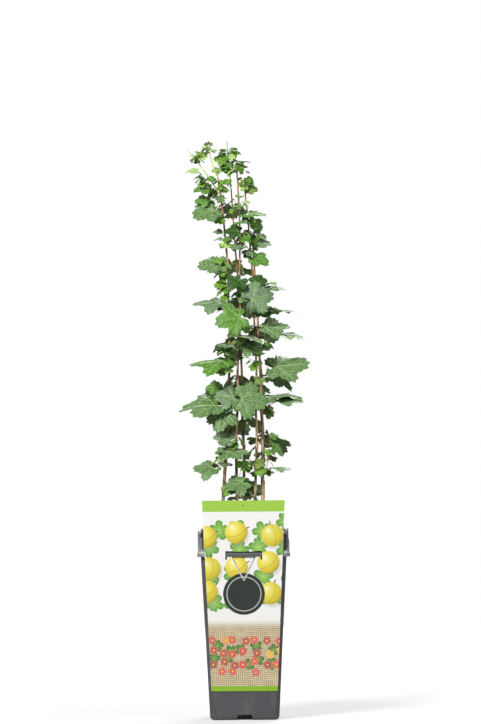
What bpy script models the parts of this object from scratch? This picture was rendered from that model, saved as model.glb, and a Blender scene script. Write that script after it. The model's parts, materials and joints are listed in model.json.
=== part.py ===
"""A young gooseberry bush in its deep square pot, with the printed card that hangs on the pot's ledge.

Five slim stems stand in the compost. Sprigs of lobed leaves grow from them by a seeded rule, and every
sprig is one solid. Metres, +Z up, the front of the pot towards -Y, the origin under the middle of the pot.
"""

import math
import random
from collections import namedtuple

import bmesh
import bpy
from mathutils import Matrix, Vector, geometry
from mathutils.bvhtree import BVHTree

MM = 0.001
TOUCH = 0.3 * MM  # the gap between two pieces that rest on each other
FLAT_ANGLE = math.radians(0.5)
UP = Vector((0, 0, 1))
FRONT = Vector((0, -1, 0))

# The pot: a deep tapered square, with a ledge all round below its rim and a post at each corner
POT_HEIGHT = 228 * MM
POT_LEVELS = ((0, 41.5 * MM), (201 * MM, 51.7 * MM), (POT_HEIGHT, 52.0 * MM))  # height and half width
POT_WALL = 1.3 * MM
POT_CORNER = 7 * MM
POT_FOOT_ROUND = 4 * MM
LEDGE_LOW, LEDGE_BEVEL, LEDGE_HIGH = 196.6 * MM, 201.2 * MM, 202.5 * MM
LEDGE_HALF = 55.7 * MM
LEDGE_CORNER = 9 * MM
LEDGE_BAR = 1.4 * MM
POST_LEG = 8.5 * MM  # how far each corner post runs along its two sides
POST_BEND = 211 * MM  # above this height one side of the post leans in
POST_TOP = 52.2 * MM
WINDOW_EDGES = (48.2 * MM, 52.7 * MM)  # the opening between a post's two legs and the rim
WINDOW_LOW, WINDOW_HIGH = 204 * MM, 223.5 * MM
TALL_WINDOW_LOW = 204.7 * MM
WINDOW_DEPTH = 46.2 * MM
POST_INSET = 0.5 * MM
POST_HOLE = (53.4 * MM, 55.0 * MM, 213.2 * MM, 218.8 * MM)
POST_HOLE_DEPTH = 7.4 * MM
CARD_SLOT = (34 * MM, 2.2 * MM)  # the slot behind the ledge's bar that takes the card's tongue
DRAIN_WIDE, DRAIN_NARROW = 20 * MM, 16.8 * MM
DRAIN_HEIGHT, DRAIN_DEPTH = 6.3 * MM, 9 * MM
POT_BASE = POT_LEVELS[0][1]

# The compost that fills it
SOIL_TOP = 207 * MM
SOIL_CLEAR = 0.4 * MM
SOIL_CORNER = 6.5 * MM
SOIL_FOOT_ROUND = 4.5 * MM

# The card: a stiff tapered sheet with a wide slot and a tongue hooked behind the ledge
CARD_LOW, CARD_HIGH = 34.6 * MM, 264.4 * MM
CARD_LOW_HALF, CARD_HIGH_HALF = 39.8 * MM, 49.5 * MM
CARD_THICK = 0.8 * MM
CUT_HALF = 22 * MM
CUT_EAR = (2 * MM, 3.4 * MM)
NOTCH_HALF, NOTCH_DEEP = 14.5 * MM, 28 * MM
TONGUE_INSET = 0.7 * MM
PUNCH_RADIUS = 0.9 * MM
PUNCH_DOWN = 6.4 * MM

# Twigs, leaf stalks and blades
TWIG_RADIUS = 1.0 * MM
TWIG_SHARE, TWIG_MOST = 0.35, 7 * MM
STALK_RADIUS = 0.55 * MM
STALK_SUNK = 0.1
LARGE_BLADE = 30 * MM
LEAST_BLADE = 6 * MM
HUB_SHARE = 0.24  # the fan's middle lies this far up the midrib, clear of the stalk
BLADE_THICK_SHARE = 0.014
BLADE_LEAST_THICK = 0.4 * MM
BLADE_CLEAR = 0.35 * MM  # what a leaf keeps to its neighbours on each side
SPACE = 66 * MM  # the radius of a sprig's own space, a ball round its foot
DRIFT = 0.8 * MM
LEAST_OUT = 6 * MM
TRIES = 22  # how often a leaf is moved a little further before it is skipped

# Each lobe of a blade: its vein's angle off the midrib, its length and its half width in degrees
LOBES = ((0.0, 1.0, 38.0), (58.0, 0.86, 34.0), (112.0, 0.54, 42.0))
LOBE_BLUNT = 0.5
EDGE_LEAST = 0.1
FOLDS = (0.05, 0.18)  # how high the tissue stands between two veins, for a blade of length 1
DROOPS = (0.0, 0.16)  # how far the lobes' tips hang
# Where the solid's outline has its points, on both sides of the midrib
SPOKES = (12, 31, 47, 69, 87, 112, 150)
SMALL_SPOKES = (12, 31, 60, 106, 150)
SMALL_BLADE = 12.5 * MM

Sprig = namedtuple("Sprig", "name limb height leads more seed")
Lead = namedtuple("Lead", "joint heading face blade")
Leaf = namedtuple("Leaf", "root bend joint frame blade fold droop")

# Every stem: foot, lower handle, upper handle and tip of its curve, then foot and tip radius, in mm
STEMS = {
    "stem_left": ((-29, 3, 207), (-17, 2, 345), (-6, 4, 515), (-28, 1, 655), 2.3, 1.0),
    "stem_front": ((-4, -4, 207), (-17, -6, 330), (6, -3, 500), (-5, -3, 664), 2.2, 0.9),
    "stem_middle": ((13, 2, 207), (17, 7, 330), (22, 9, 480), (4, 5, 645), 2.0, 0.9),
    "stem_right": ((21, 9, 207), (28, 11, 320), (22, 7, 440), (14, 6, 572), 2.8, 1.1),
    "stem_back": ((0, 16, 207), (4, 27, 340), (-4, 17, 560), (-17, 6, 699), 2.3, 0.6),
}
FLARE = 0.9 * MM
SWAY = 0.7 * MM
# The same for two young shoots, after the stem and the height that they leave. None is the stem's tip.
SHOOTS = {
    "shoot_long": ("stem_left", 636, (-38, -5, 654), (-50, -4, 671), (-63.8, -3, 688), 1.0, 0.5),
    "shoot_pale": ("stem_left", None, (-33, -4, 664), (-36, -3, 676), (-38.4, -3, 688), 0.9, 0.5),
}

# Every sprig of a limb: the height of its foot (None is the limb's tip), its leading leaves, and how many
# leaves follow them. A leading leaf has its joint right, back and up from the limb, its blade's length,
# where it points in the picture plane (0 right, 90 up) and how much its upper side turns to the front.
SPRIGS = {
    "stem_left": (
        (308, ((-16, -6, -5, 24, 180, 0.9), (3, -12, 1, 17, 192, 0.4)), 0),
        (371, ((-16, -6, 7, 45, 160, 0.63),), 1),
        (424, ((-9, -5, 8, 41, 178, 0.55), (-7, -8, -6, 10, 170, 0.8), (1, -12, -2, 12, 185, 0.8)), 0),
        (449, ((2, -13, 2, 17, 190, 0.5),), 1),
        (500, ((-12, -5, 4, 33, 195, 0.6), (-1, -10, 9, 10, 165, 0.9)), 1),
        (522, ((-7, -9, 3, 11, 200, 1.0), (-3, -9, 9, 10, 130, 1.0), (0, -12, -3, 11, 195, 0.8)), 0),
        (550, ((-10, -6, -1, 27, 183, 0.86), (-6, -9, -9, 13, 225, 0.8)), 0),
        (574, ((4, -11, 0, 11, 190, 1.0), (-4, -5, 6, 11, 165, 0.5), (-4, -4, 15, 11, 160, 0.6)), 0),
        (612, ((-13, -8, 3, 27, 217, 1.0), (-19, -1, 17, 16, 197, 0.9), (-1, -8, -8, 11, 215, 1.0)), 0),
        (632, ((-16, -5, 10, 18, 215, 0.72), (3, -9, -4, 11, 150, 0.9)), 0),
        (645, ((7, -6, 4, 9, 20, 0.9), (4, -6, -5, 8, 340, 1.0), (-5, -7, 6, 7, 170, 1.0)), 1),
    ),
    "stem_front": (
        (286, ((7, -12, -1, 24, 212, 1.0), (5, -9, 18, 14, 65, 1.0)), 1),
        (331, ((-6, -10, 0, 28, 57, 0.42), (-7, -5, 5, 20, 160, 0.76), (-10, -10, -6, 15, 250, 0.9)), 0),
        (384, ((5, -16, 2, 32, 352, 1.9), (-3, -9, 3, 24, 170, 1.1)), 1),
        (459, ((-4, -17, 1, 33, 321, 0.35),), 1),
        (478, ((-2, -15, 4, 30, 200, 1.4),), 1),
        (516, ((14, -17, -10, 29, 18, 1.8), (0, -12, 14, 20, 235, 1.0), (6, -11, -7, 12, 165, 1.2)), 0),
        (580, ((-3, -10, 9, 17, 170, 1.0), (-7, -10, -9, 13, 10, 0.8), (0, -8, 20, 16, 280, 0.4)), 1),
        (620, ((-2, -8, 0, 11, 275, 0.5), (0, -7, 11, 8, 80, 0.7)), 1),
        (None, ((-1, -3, 10, 18, 12, 0.4), (1, -6, 3, 13, 3, 0.8), (-7, -5, 6, 7, 150, 1.0)), 2),
    ),
    "stem_middle": (
        (302, ((1, -10, 4, 15, 60, 0.9),), 2),
        (428, ((1, -10, -19, 12, 20, 0.9), (-1, -12, 12, 12, 335, 0.5)), 1),
        (522, ((5, -9, 5, 16, 85, 1.1), (-3, -12, -5, 10, 115, 1.0)), 1),
        (566, ((-2, -9, -1, 11, 200, 0.8),), 2),
        (609, ((1, -9, 0, 25, 300, 0.45),), 1),
        (None, ((5, -5, -4, 12, 358, 1.2),), 3),
    ),
    "stem_right": (
        (312, ((14, -5, -10, 21, 355, 0.35), (6, -8, -13, 13, 95, 0.9), (10, -6, 29, 10, 20, 0.8)), 1),
        (373, ((20, -7, 10, 31, 357, 0.46), (13, 2, 15, 37, 5, 0.42)), 0),
        (414, ((19, -6, 11, 41, 13, 0.85),), 1),
        (451, ((24, -3, 13, 32, 5, 0.4), (8, -14, 21, 31, 8, 0.79), (4, -10, -4, 10, 30, 0.7)), 0),
        (491, ((29, 3, 2, 19, 358, 0.3), (17, -4, 2, 12, 50, 1.0), (6, -9, 3, 17, 285, 0.9)), 0),
        (522, ((18, -2, -1, 19, 4, 0.5), (13, 2, 4, 16, 82, 0.4)), 1),
        (None, ((2, -11, -15, 19, 325, 1.0), (6, -5, 3, 17, 20, 0.8)), 2),
    ),
    "stem_back": (
        (672, ((-6, -8, 5, 13, 180, 1.1), (-14, -5, -8, 10, 200, 0.9), (-11, -2, 12, 8, 130, 0.9)), 2),
        (684, ((5, -5, 0, 9, 350, 0.9), (-4, -6, 4, 7, 150, 0.8)), 1),
    ),
    "shoot_long": (
        (654, ((-16, -2, 9, 13, 190, 0.65),), 0),
        (677, ((7, -2, 3, 8, 15, 1.0), (-2, -3, 4, 6, 178, 0.5)), 0),
    ),
    "shoot_pale": ((None, ((-4, -1, 1, 6, 150, 0.6), (4, -2, -1, 6, 20, 0.8)), 1),),
}

# The sprigs at the back: the limb, the height of the foot, the turn round the limb in degrees (0 right,
# 90 back, 180 left), how far out the joint is, and the blade's length. Three leaves follow each.
BACK_SPRIGS = (
    ("stem_back", 276, 88, 15, 30),
    ("stem_right", 334, 48, 16, 31),
    ("stem_back", 352, 124, 17, 33),
    ("stem_back", 404, 58, 17, 35),
    ("stem_left", 396, 118, 14, 27),
    ("stem_back", 452, 106, 17, 33),
    ("stem_right", 466, 62, 14, 27),
    ("stem_back", 500, 70, 16, 29),
    ("stem_back", 548, 120, 15, 27),
    ("stem_middle", 584, 72, 13, 22),
    ("stem_back", 616, 92, 13, 21),
)


def clear_scene():
    for old in list(bpy.data.objects):
        bpy.data.objects.remove(old)


def paint(name, colour, roughness):
    """A plain Principled material."""
    made = bpy.data.materials.new(name)
    made.use_nodes = True
    shader = made.node_tree.nodes["Principled BSDF"]
    shader.inputs["Base Color"].default_value = (*colour, 1.0)
    shader.inputs["Roughness"].default_value = roughness
    shader.inputs["Metallic"].default_value = 0.0
    return made


def collection(name):
    made = bpy.data.collections.new(name)
    bpy.context.scene.collection.children.link(made)
    return made


def place(bm, name, home, material=None):
    """Turns a bmesh into an object in a collection."""
    bmesh.ops.recalc_face_normals(bm, faces=bm.faces)
    mesh = bpy.data.meshes.new(name)
    bm.to_mesh(mesh)
    bm.free()
    made = bpy.data.objects.new(name, mesh)
    home.objects.link(made)
    if material:
        mesh.materials.append(material)
    return made


def combine(obj, home, operation):
    """Joins every object of a collection to obj, or cuts it away, and removes the collection's objects."""
    step = obj.modifiers.new(operation.title(), "BOOLEAN")
    step.operand_type = "COLLECTION"
    step.collection = home
    step.operation = operation
    step.solver = "EXACT"
    depsgraph = bpy.context.evaluated_depsgraph_get()
    joined = bpy.data.meshes.new_from_object(obj.evaluated_get(depsgraph))
    obj.modifiers.clear()
    obj.data = joined
    tidy(joined)
    for used in list(home.objects):
        bpy.data.objects.remove(used)
    bpy.data.collections.remove(home)


def tidy(mesh):
    """Merges the flat facets that a Boolean splits up."""
    bm = bmesh.new()
    bm.from_mesh(mesh)
    bmesh.ops.dissolve_limit(bm, angle_limit=FLAT_ANGLE, verts=bm.verts, edges=bm.edges)
    bm.to_mesh(mesh)
    bm.free()


def helpers(name):
    """A collection for cutters or for the pieces that one Boolean joins."""
    made = collection(name)
    made.hide_render = True
    return made


def tapered_box(levels, corner, foot_round=0.0, foot_steps=2):
    """A square column through (height, half width) levels, with rounded corners and a rounded foot."""
    bm = bmesh.new()
    bmesh.ops.create_cube(bm, size=2.0)
    (low, low_half), (high, high_half) = levels[0], levels[-1]
    for vert in bm.verts:
        half, height = (low_half, low) if vert.co.z < 0 else (high_half, high)
        vert.co = Vector((vert.co.x * half, vert.co.y * half, height))
    upright = [e for e in bm.edges if abs(e.verts[0].co.z - e.verts[1].co.z) > (high - low) / 2]
    bmesh.ops.bevel(
        bm, geom=upright, offset=corner, segments=4, profile=0.5, affect="EDGES", material=-1
    )
    if foot_round:
        foot = [e for e in bm.edges if all(abs(v.co.z - low) < 1e-7 for v in e.verts)]
        bmesh.ops.bevel(
            bm, geom=foot, offset=foot_round, segments=foot_steps, profile=0.5, affect="EDGES", material=-1
        )
    for height, half in levels[1:-1]:
        cut = bmesh.ops.bisect_plane(
            bm, geom=bm.verts[:] + bm.edges[:] + bm.faces[:], plane_co=(0, 0, height), plane_no=(0, 0, 1)
        )
        ring = [v for v in cut["geom_cut"] if isinstance(v, bmesh.types.BMVert)]
        wide = max(abs(v.co.x) for v in ring)
        for vert in ring:
            vert.co.x *= half / wide
            vert.co.y *= half / wide
    return bm


def box(size, centre):
    bm = bmesh.new()
    bmesh.ops.create_cube(bm, size=1.0, matrix=Matrix.Translation(centre) @ Matrix.Diagonal((*size, 1)))
    return bm


def wedge(low_half, high_half, low, high, near, far):
    """A block between two depths whose width runs evenly from low_half at low to high_half at high."""
    bm = box((2, far - near, high - low), (0, (near + far) / 2, (low + high) / 2))
    for vert in bm.verts:
        vert.co.x *= low_half if vert.co.z < (low + high) / 2 else high_half
    bmesh.ops.remove_doubles(bm, verts=bm.verts, dist=1e-6)
    return bm


def pot_half(height):
    """The pot's outer half width at a height."""
    (low, low_half), (high, high_half) = next(
        pair for pair in zip(POT_LEVELS, POT_LEVELS[1:]) if height <= pair[1][0] or pair[1][0] == POT_HEIGHT
    )
    return low_half + (high_half - low_half) * (height - low) / (high - low)


def quarter_turns(bm, name, home):
    """Places four copies of a piece, one on each side of the pot."""
    for side in range(4):
        copy = bm.copy()
        bmesh.ops.rotate(copy, verts=copy.verts, matrix=Matrix.Rotation(side * math.pi / 2, 3, "Z"))
        place(copy, f"{name}_{side}", home)
    bm.free()


def span(left, right, near, far, low, high):
    """A block between six planes."""
    centre = ((left + right) / 2, (near + far) / 2, (low + high) / 2)
    return box((right - left, far - near, high - low), centre)


def make_collar(home):
    """The ledge, and the four corner posts that stand on it."""
    ledge_top_half = LEDGE_HALF - (LEDGE_HIGH - LEDGE_BEVEL)
    ledge_levels = ((LEDGE_LOW, LEDGE_HALF), (LEDGE_BEVEL, LEDGE_HALF), (LEDGE_HIGH, ledge_top_half))
    place(tapered_box(ledge_levels, LEDGE_CORNER), "ledge", home)
    post_half = LEDGE_HALF - POST_INSET
    post_low = (LEDGE_LOW + LEDGE_BEVEL) / 2
    post_levels = ((post_low, post_half), (POT_HEIGHT - POST_INSET, post_half))
    posts = place(tapered_box(post_levels, LEDGE_CORNER), "posts", home)
    cuts = helpers("post_cuts")
    open_half, far = LEDGE_HALF - POST_LEG, 2 * LEDGE_HALF
    place(span(-open_half, open_half, -far, far, 0, 2 * POT_HEIGHT), "across", cuts)
    place(span(-far, far, -open_half, open_half, -POT_HEIGHT, 3 * POT_HEIGHT), "along", cuts)
    lean = span(0, far, -far, -open_half / 2, -POT_HEIGHT, POT_HEIGHT)
    turn = math.atan2(LEDGE_HALF - POST_TOP, POT_HEIGHT - POST_BEND)
    aim = Matrix.Translation((LEDGE_HALF, 0, POST_BEND)) @ Matrix.Rotation(-turn, 4, "Y")
    bmesh.ops.transform(lean, verts=lean.verts, matrix=aim)
    quarter_turns(lean, "lean", cuts)
    combine(posts, cuts, "DIFFERENCE")


def make_pot(home, material):
    """The thin tapered pot with its ledge, corner posts, card slots and drain notches."""
    pot = place(tapered_box(POT_LEVELS, POT_CORNER, POT_FOOT_ROUND), "pot", home, material)
    collar = helpers("collar")
    make_collar(collar)
    combine(pot, collar, "UNION")

    cuts = helpers("pot_cuts")
    inner = [(height, half - POT_WALL) for height, half in POT_LEVELS]
    inner[0] = (POT_WALL, pot_half(POT_WALL) - POT_WALL)
    inner.append((POT_HEIGHT + POT_WALL, inner[-1][1]))
    place(tapered_box(inner, POT_CORNER - POT_WALL, POT_FOOT_ROUND - POT_WALL), "inside", cuts)
    slot_wide, slot_deep = CARD_SLOT
    front = -(LEDGE_HALF - LEDGE_BAR)
    slot = span(-slot_wide / 2, slot_wide / 2, front, front + slot_deep, -POT_HEIGHT, LEDGE_HIGH + POT_WALL)
    quarter_turns(slot, "card_slot", cuts)
    drain = wedge(DRAIN_WIDE / 2, DRAIN_NARROW / 2, 0, DRAIN_HEIGHT, -2 * POT_BASE, DRAIN_DEPTH - POT_BASE)
    mouth = [v for v in drain.verts if v.co.z < DRAIN_HEIGHT / 2]
    bmesh.ops.translate(drain, verts=mouth, vec=(0, 0, -POT_WALL))
    quarter_turns(drain, "drain", cuts)
    near, far = WINDOW_EDGES
    tall_window = span(-far, -near, -2 * LEDGE_HALF, -WINDOW_DEPTH, TALL_WINDOW_LOW, POT_HEIGHT + POT_WALL)
    quarter_turns(tall_window, "tall_window", cuts)
    window = span(near, far, -2 * LEDGE_HALF, -WINDOW_DEPTH, WINDOW_LOW, WINDOW_HIGH)
    quarter_turns(window, "window", cuts)
    for side in (-1, 1):
        inner_edge, outer_edge, low, high = POST_HOLE
        left, right = sorted((side * inner_edge, side * outer_edge))
        hole = span(left, right, -2 * LEDGE_HALF, POST_HOLE_DEPTH - LEDGE_HALF, low, high)
        quarter_turns(hole, f"post_hole_{side}", cuts)
    combine(pot, cuts, "DIFFERENCE")
    return pot


def make_soil(home, material):
    """The compost, a tapered block that fills the pot to just below its rim."""
    inset = POT_WALL + SOIL_CLEAR
    floor = POT_WALL + TOUCH
    heights = (floor, POT_LEVELS[1][0], SOIL_TOP)
    levels = [(height, pot_half(height) - inset) for height in heights]
    return place(tapered_box(levels, SOIL_CORNER, SOIL_FOOT_ROUND), "compost", home, material)


def make_card(home, material):
    """The card, leaning on the ledge and on the pot's wall, its tongue hooked down behind the ledge's bar."""
    back = LEDGE_HALF + TOUCH
    bar_top = LEDGE_HIGH + TOUCH
    lean = math.atan2(back - pot_half(CARD_LOW) - TOUCH, LEDGE_LOW - CARD_LOW)
    pivot = Vector((0, -back, LEDGE_LOW))
    sheet = wedge(CARD_LOW_HALF, CARD_HIGH_HALF, CARD_LOW, CARD_HIGH, -back - CARD_THICK, -back)
    card = place(sheet, "label_card", home, material)
    near, far = -back - 2 * CARD_THICK, -back + CARD_THICK
    ear_wide, ear_deep = CUT_EAR
    cuts = helpers("card_cuts")
    place(wedge(CUT_HALF, CUT_HALF, LEDGE_LOW, bar_top + CARD_THICK, near, far), "slot", cuts)
    place(wedge(TOUCH / 2, NOTCH_HALF, LEDGE_LOW - NOTCH_DEEP, LEDGE_LOW + TOUCH, near, far), "notch", cuts)
    for side in (-1, 1):
        left, right = sorted((side * (CUT_HALF - ear_wide), side * CUT_HALF))
        place(span(left, right, near, far, LEDGE_LOW - ear_deep, LEDGE_LOW + TOUCH), f"ear_{side}", cuts)
    punch = bmesh.new()
    bmesh.ops.create_cone(
        punch,
        cap_ends=True,
        segments=10,
        radius1=PUNCH_RADIUS,
        radius2=PUNCH_RADIUS,
        depth=4 * CARD_THICK,
        matrix=Matrix.Translation((0, -back, CARD_HIGH - PUNCH_DOWN)) @ Matrix.Rotation(math.pi / 2, 4, "X"),
    )
    place(punch, "punch", cuts)
    combine(card, cuts, "DIFFERENCE")
    about_pivot = Matrix.Translation(pivot) @ Matrix.Rotation(lean, 4, "X") @ Matrix.Translation(-pivot)
    card.data.transform(about_pivot)

    half = NOTCH_HALF - TONGUE_INSET
    tongue_front = -(LEDGE_HALF - LEDGE_BAR - CARD_SLOT[1] / 2 + CARD_THICK / 2)
    tongue_back = tongue_front + CARD_THICK
    tongue = helpers("tongue")
    fold_high = bar_top + CARD_THICK
    fold = span(-half, half, -back - 1.3 * CARD_THICK, tongue_back, bar_top, fold_high + CARD_THICK)
    place(fold, "fold", tongue)
    place(span(-half, half, tongue_front, tongue_back, LEDGE_LOW, fold_high), "strap", tongue)
    point_low = LEDGE_LOW - NOTCH_DEEP + 2 * MM
    place(wedge(TONGUE_INSET, half, point_low, LEDGE_LOW + TOUCH, tongue_front, tongue_back), "point", tongue)
    combine(card, tongue, "UNION")
    return card


class Limb:
    """One tapering limb: the points of its centre line from foot to tip, and its radius at each."""

    steps = 13

    def __init__(self, name, knots, foot_radius, tip_radius, flare, sway):
        self.name = name
        self.points, self.radii = [], []
        curve = geometry.interpolate_bezier(*(Vector(k) * MM for k in knots), self.steps)
        phase = random.Random(name).uniform(0, math.tau)
        for index, point in enumerate(curve):
            share = index / (self.steps - 1)
            swing = sway * math.sin(math.pi * share)
            angle = phase + 4.5 * math.tau * share
            self.points.append(point + Vector((math.sin(angle), math.cos(angle), 0)) * swing)
            taper = foot_radius + (tip_radius - foot_radius) * share**0.8
            self.radii.append(taper * MM + flare * math.exp(-30 * share))

    def at(self, height):
        """The centre, the radius and the direction of the limb at a height, or at its tip for None."""
        last = len(self.points) - 1
        index = last if height is None else next(i for i in range(1, last + 1) if self.points[i].z >= height)
        low, high = self.points[index - 1], self.points[index]
        share = 1.0 if height is None else (height - low.z) / (high.z - low.z)
        radius = self.radii[index - 1] + (self.radii[index] - self.radii[index - 1]) * share
        return low.lerp(high, share), radius, (high - low).normalized()


def make_limbs():
    """All stems, and the two shoots that leave the left stem."""
    limbs = {}
    for name, (*knots, foot_radius, tip_radius) in STEMS.items():
        limbs[name] = Limb(name, knots, foot_radius, tip_radius, FLARE, SWAY)
        limbs[name].points[0].z += TOUCH
    for name, (parent, height, *knots, foot_radius, tip_radius) in SHOOTS.items():
        centre, radius, along = limbs[parent].at(height and height * MM)
        away = (Vector(knots[0]) * MM - centre).normalized()
        if height is None:
            foot = centre + along * (TOUCH + foot_radius * MM * away.cross(along).length)
        else:
            side = (away - along * away.dot(along)).normalized()
            foot = centre + side * (radius + TOUCH + foot_radius * MM * abs(away.dot(along)))
        limbs[name] = Limb(name, (foot / MM, *knots), foot_radius, tip_radius, 0.0, 0.0)
    return limbs


def tube(bm, points, radii, sides):
    """Sweeps a polygon along the points by extruding its end face from each frame to the next."""
    turn = UP.rotation_difference(points[1] - points[0])
    frames = []
    for index, (point, radius) in enumerate(zip(points, radii)):
        if index:
            ahead = points[min(index + 1, len(points) - 1)] - points[index - 1]
            turn = (turn @ UP).rotation_difference(ahead) @ turn
        frames.append(Matrix.LocRotScale(point, turn, (radius,) * 3))
    ring = bmesh.ops.create_circle(bm, cap_ends=True, segments=sides, radius=1.0, matrix=frames[0])["verts"]
    end = ring[0].link_faces[0]
    for before, after in zip(frames, frames[1:]):
        grown = bmesh.ops.extrude_face_region(bm, geom=[end, *end.edges, *end.verts])["geom"]
        end = next(g for g in grown if isinstance(g, bmesh.types.BMFace))
        bmesh.ops.transform(bm, matrix=after @ before.inverted(), verts=end.verts)


def blade_edge(angle):
    """How far the edge of a blade of length 1 lies from its stalk, at an angle in degrees off the midrib."""
    found = EDGE_LEAST
    for middle, length, half in LOBES:
        off = min(1.0, abs(abs(angle) - middle) / half)
        found = max(found, length * math.cos(off * math.pi / 2) ** LOBE_BLUNT)
    return found


def blade_rise(angle, share, fold, droop):
    """How high a blade of length 1 stands there: it rises between the veins and droops to its tips."""
    between = min(abs(abs(angle) - middle) / half for middle, length, half in LOBES)
    return share * fold * min(1.0, between) - droop * share * share


def chance(rng):
    """A vector of three chances, each from -1 to 1."""
    return Vector([rng.uniform(-1, 1) for axis in range(3)])


def leaf_frame(joint, heading, face):
    """The matrix that puts a blade at its joint, its midrib along heading and its upper side to face."""
    face = face.normalized()
    midrib = (heading - face * heading.dot(face)).normalized()
    across = face.cross(midrib)
    turned = Matrix((midrib, across, face)).transposed()
    return Matrix.Translation(joint) @ turned.to_4x4()


def shape_leaf(rng, root, joint, heading, face, blade, play):
    """One leaf on its stalk. Chance turns its tip and its upper side by up to the play."""
    heading = heading.normalized() + chance(rng) * play
    face = face.normalized() + chance(rng) * play
    bend = root.lerp(joint, 0.5) + UP * (0.1 * (joint - root).length)
    frame = leaf_frame(joint, heading, face)
    return Leaf(root, bend, joint, frame, blade, rng.uniform(*FOLDS), rng.uniform(*DROOPS))


def add_blade(bm, leaf, extra=0.0):
    """The blade as a fan of facets with its five lobes, thickened downwards."""
    spokes = SPOKES if leaf.blade > SMALL_BLADE else SMALL_SPOKES
    angles = sorted([*spokes, *(-a for a in spokes)])
    fan = bmesh.ops.create_circle(bm, cap_ends=True, cap_tris=True, segments=len(angles), radius=1.0)
    made = fan["verts"]
    rim = sorted((v for v in made if v.co.length > 0.5), key=lambda v: math.atan2(v.co.y, v.co.x))
    hub = next(v for v in made if v.co.length < 0.5)
    for vert, angle, share in [(v, a, blade_edge(a)) for v, a in zip(rim, angles)] + [(hub, 0, HUB_SHARE)]:
        flat = Vector((math.cos(math.radians(angle)), math.sin(math.radians(angle)), 0)) * share
        vert.co = (flat + UP * blade_rise(angle, share, leaf.fold, leaf.droop)) * leaf.blade
    thick = max(BLADE_LEAST_THICK, BLADE_THICK_SHARE * leaf.blade) + 2 * extra
    faces = list({f for v in made for f in v.link_faces})
    bmesh.ops.translate(bm, verts=made, vec=UP * thick / 2)
    lower = bmesh.ops.extrude_face_region(bm, geom=faces, use_keep_orig=True)["geom"]
    lower_verts = [g for g in lower if isinstance(g, bmesh.types.BMVert)]
    bmesh.ops.translate(bm, verts=lower_verts, vec=-UP * thick)
    bmesh.ops.transform(bm, matrix=leaf.frame, verts=made + lower_verts)


def stalk_points(leaf):
    """The stalk's line, from inside the twig to a little way inside the blade."""
    midrib = leaf.frame.to_3x3() @ Vector((1, 0, 0))
    return [leaf.root, leaf.bend, leaf.joint + midrib * leaf.blade * STALK_SUNK]


def add_stalk(bm, leaf, extra=0.0):
    radius = STALK_RADIUS * (0.5 + 0.5 * min(1.0, leaf.blade / LARGE_BLADE))
    tube(bm, stalk_points(leaf), [radius + extra, radius + extra, radius * 0.5 + extra], 3)


def leaf_tree(leaf, extra, with_stalk=True):
    """A search tree of the leaf, thickened by what it has to keep clear."""
    bm = bmesh.new()
    add_blade(bm, leaf, extra)
    if with_stalk:
        add_stalk(bm, leaf, extra)
    found = BVHTree.FromBMesh(bm)
    bm.free()
    return found


def twig_points(sprig, limbs):
    """The sprig's short twig: it starts just clear of its limb and turns up a little."""
    centre, radius, along = limbs[sprig.limb].at(sprig.height)
    offset = sprig.leads[0].joint
    length = min(TWIG_MOST, TWIG_SHARE * offset.length)
    if sprig.height is None:
        foot = centre + along * TOUCH
        return [foot, foot + along * length * 0.5, foot + along.lerp(UP, 0.5) * length]
    way = (offset - along * offset.dot(along)).normalized()
    foot = centre + way * (radius + TOUCH)
    return [foot, foot + way * length * 0.5, foot + way * length + UP * length * 0.3]


def lead_leaf(rng, sprig, twig, centre, rank, attempt):
    """A leading leaf where the table has it, moved further each time that it isn't clear."""
    lead = sprig.leads[rank]
    drift = chance(rng) * attempt * DRIFT
    joint = centre + lead.joint + Vector((drift.x, 2 * drift.y, drift.z))
    root = twig[1].lerp(twig[2], 0.25 + 0.22 * rank)
    return shape_leaf(rng, root, joint, lead.heading, lead.face, lead.blade, 0.05 + 0.02 * attempt)


def follower(rng, sprig, twig, centre, rank, attempt):
    """A leaf that follows the leading ones: to either side of them in turn, nearer in and smaller."""
    first = sprig.leads[0]
    side = 1 if rank % 2 else -1
    turn = math.atan2(first.joint.y, first.joint.x) + side * (0.5 + 0.45 * rank + rng.uniform(-0.3, 0.3))
    way = Vector((math.cos(turn), math.sin(turn), 0))
    out = max(LEAST_OUT, first.joint.length * rng.uniform(0.6, 1.0)) + attempt * DRIFT
    joint = centre + way * out + UP * rng.uniform(-9, 10) * MM
    blade = max(LEAST_BLADE, first.blade * rng.uniform(0.42, 0.68))
    sky = UP + way * 0.6 + (FRONT * 0.6 if way.y < 0 else Vector())
    root = twig[1].lerp(twig[2], rng.uniform(-0.5, 0.9))
    return shape_leaf(rng, root, joint, way + UP * rng.uniform(-0.5, 0.3), sky, blade, 0.3)


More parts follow.
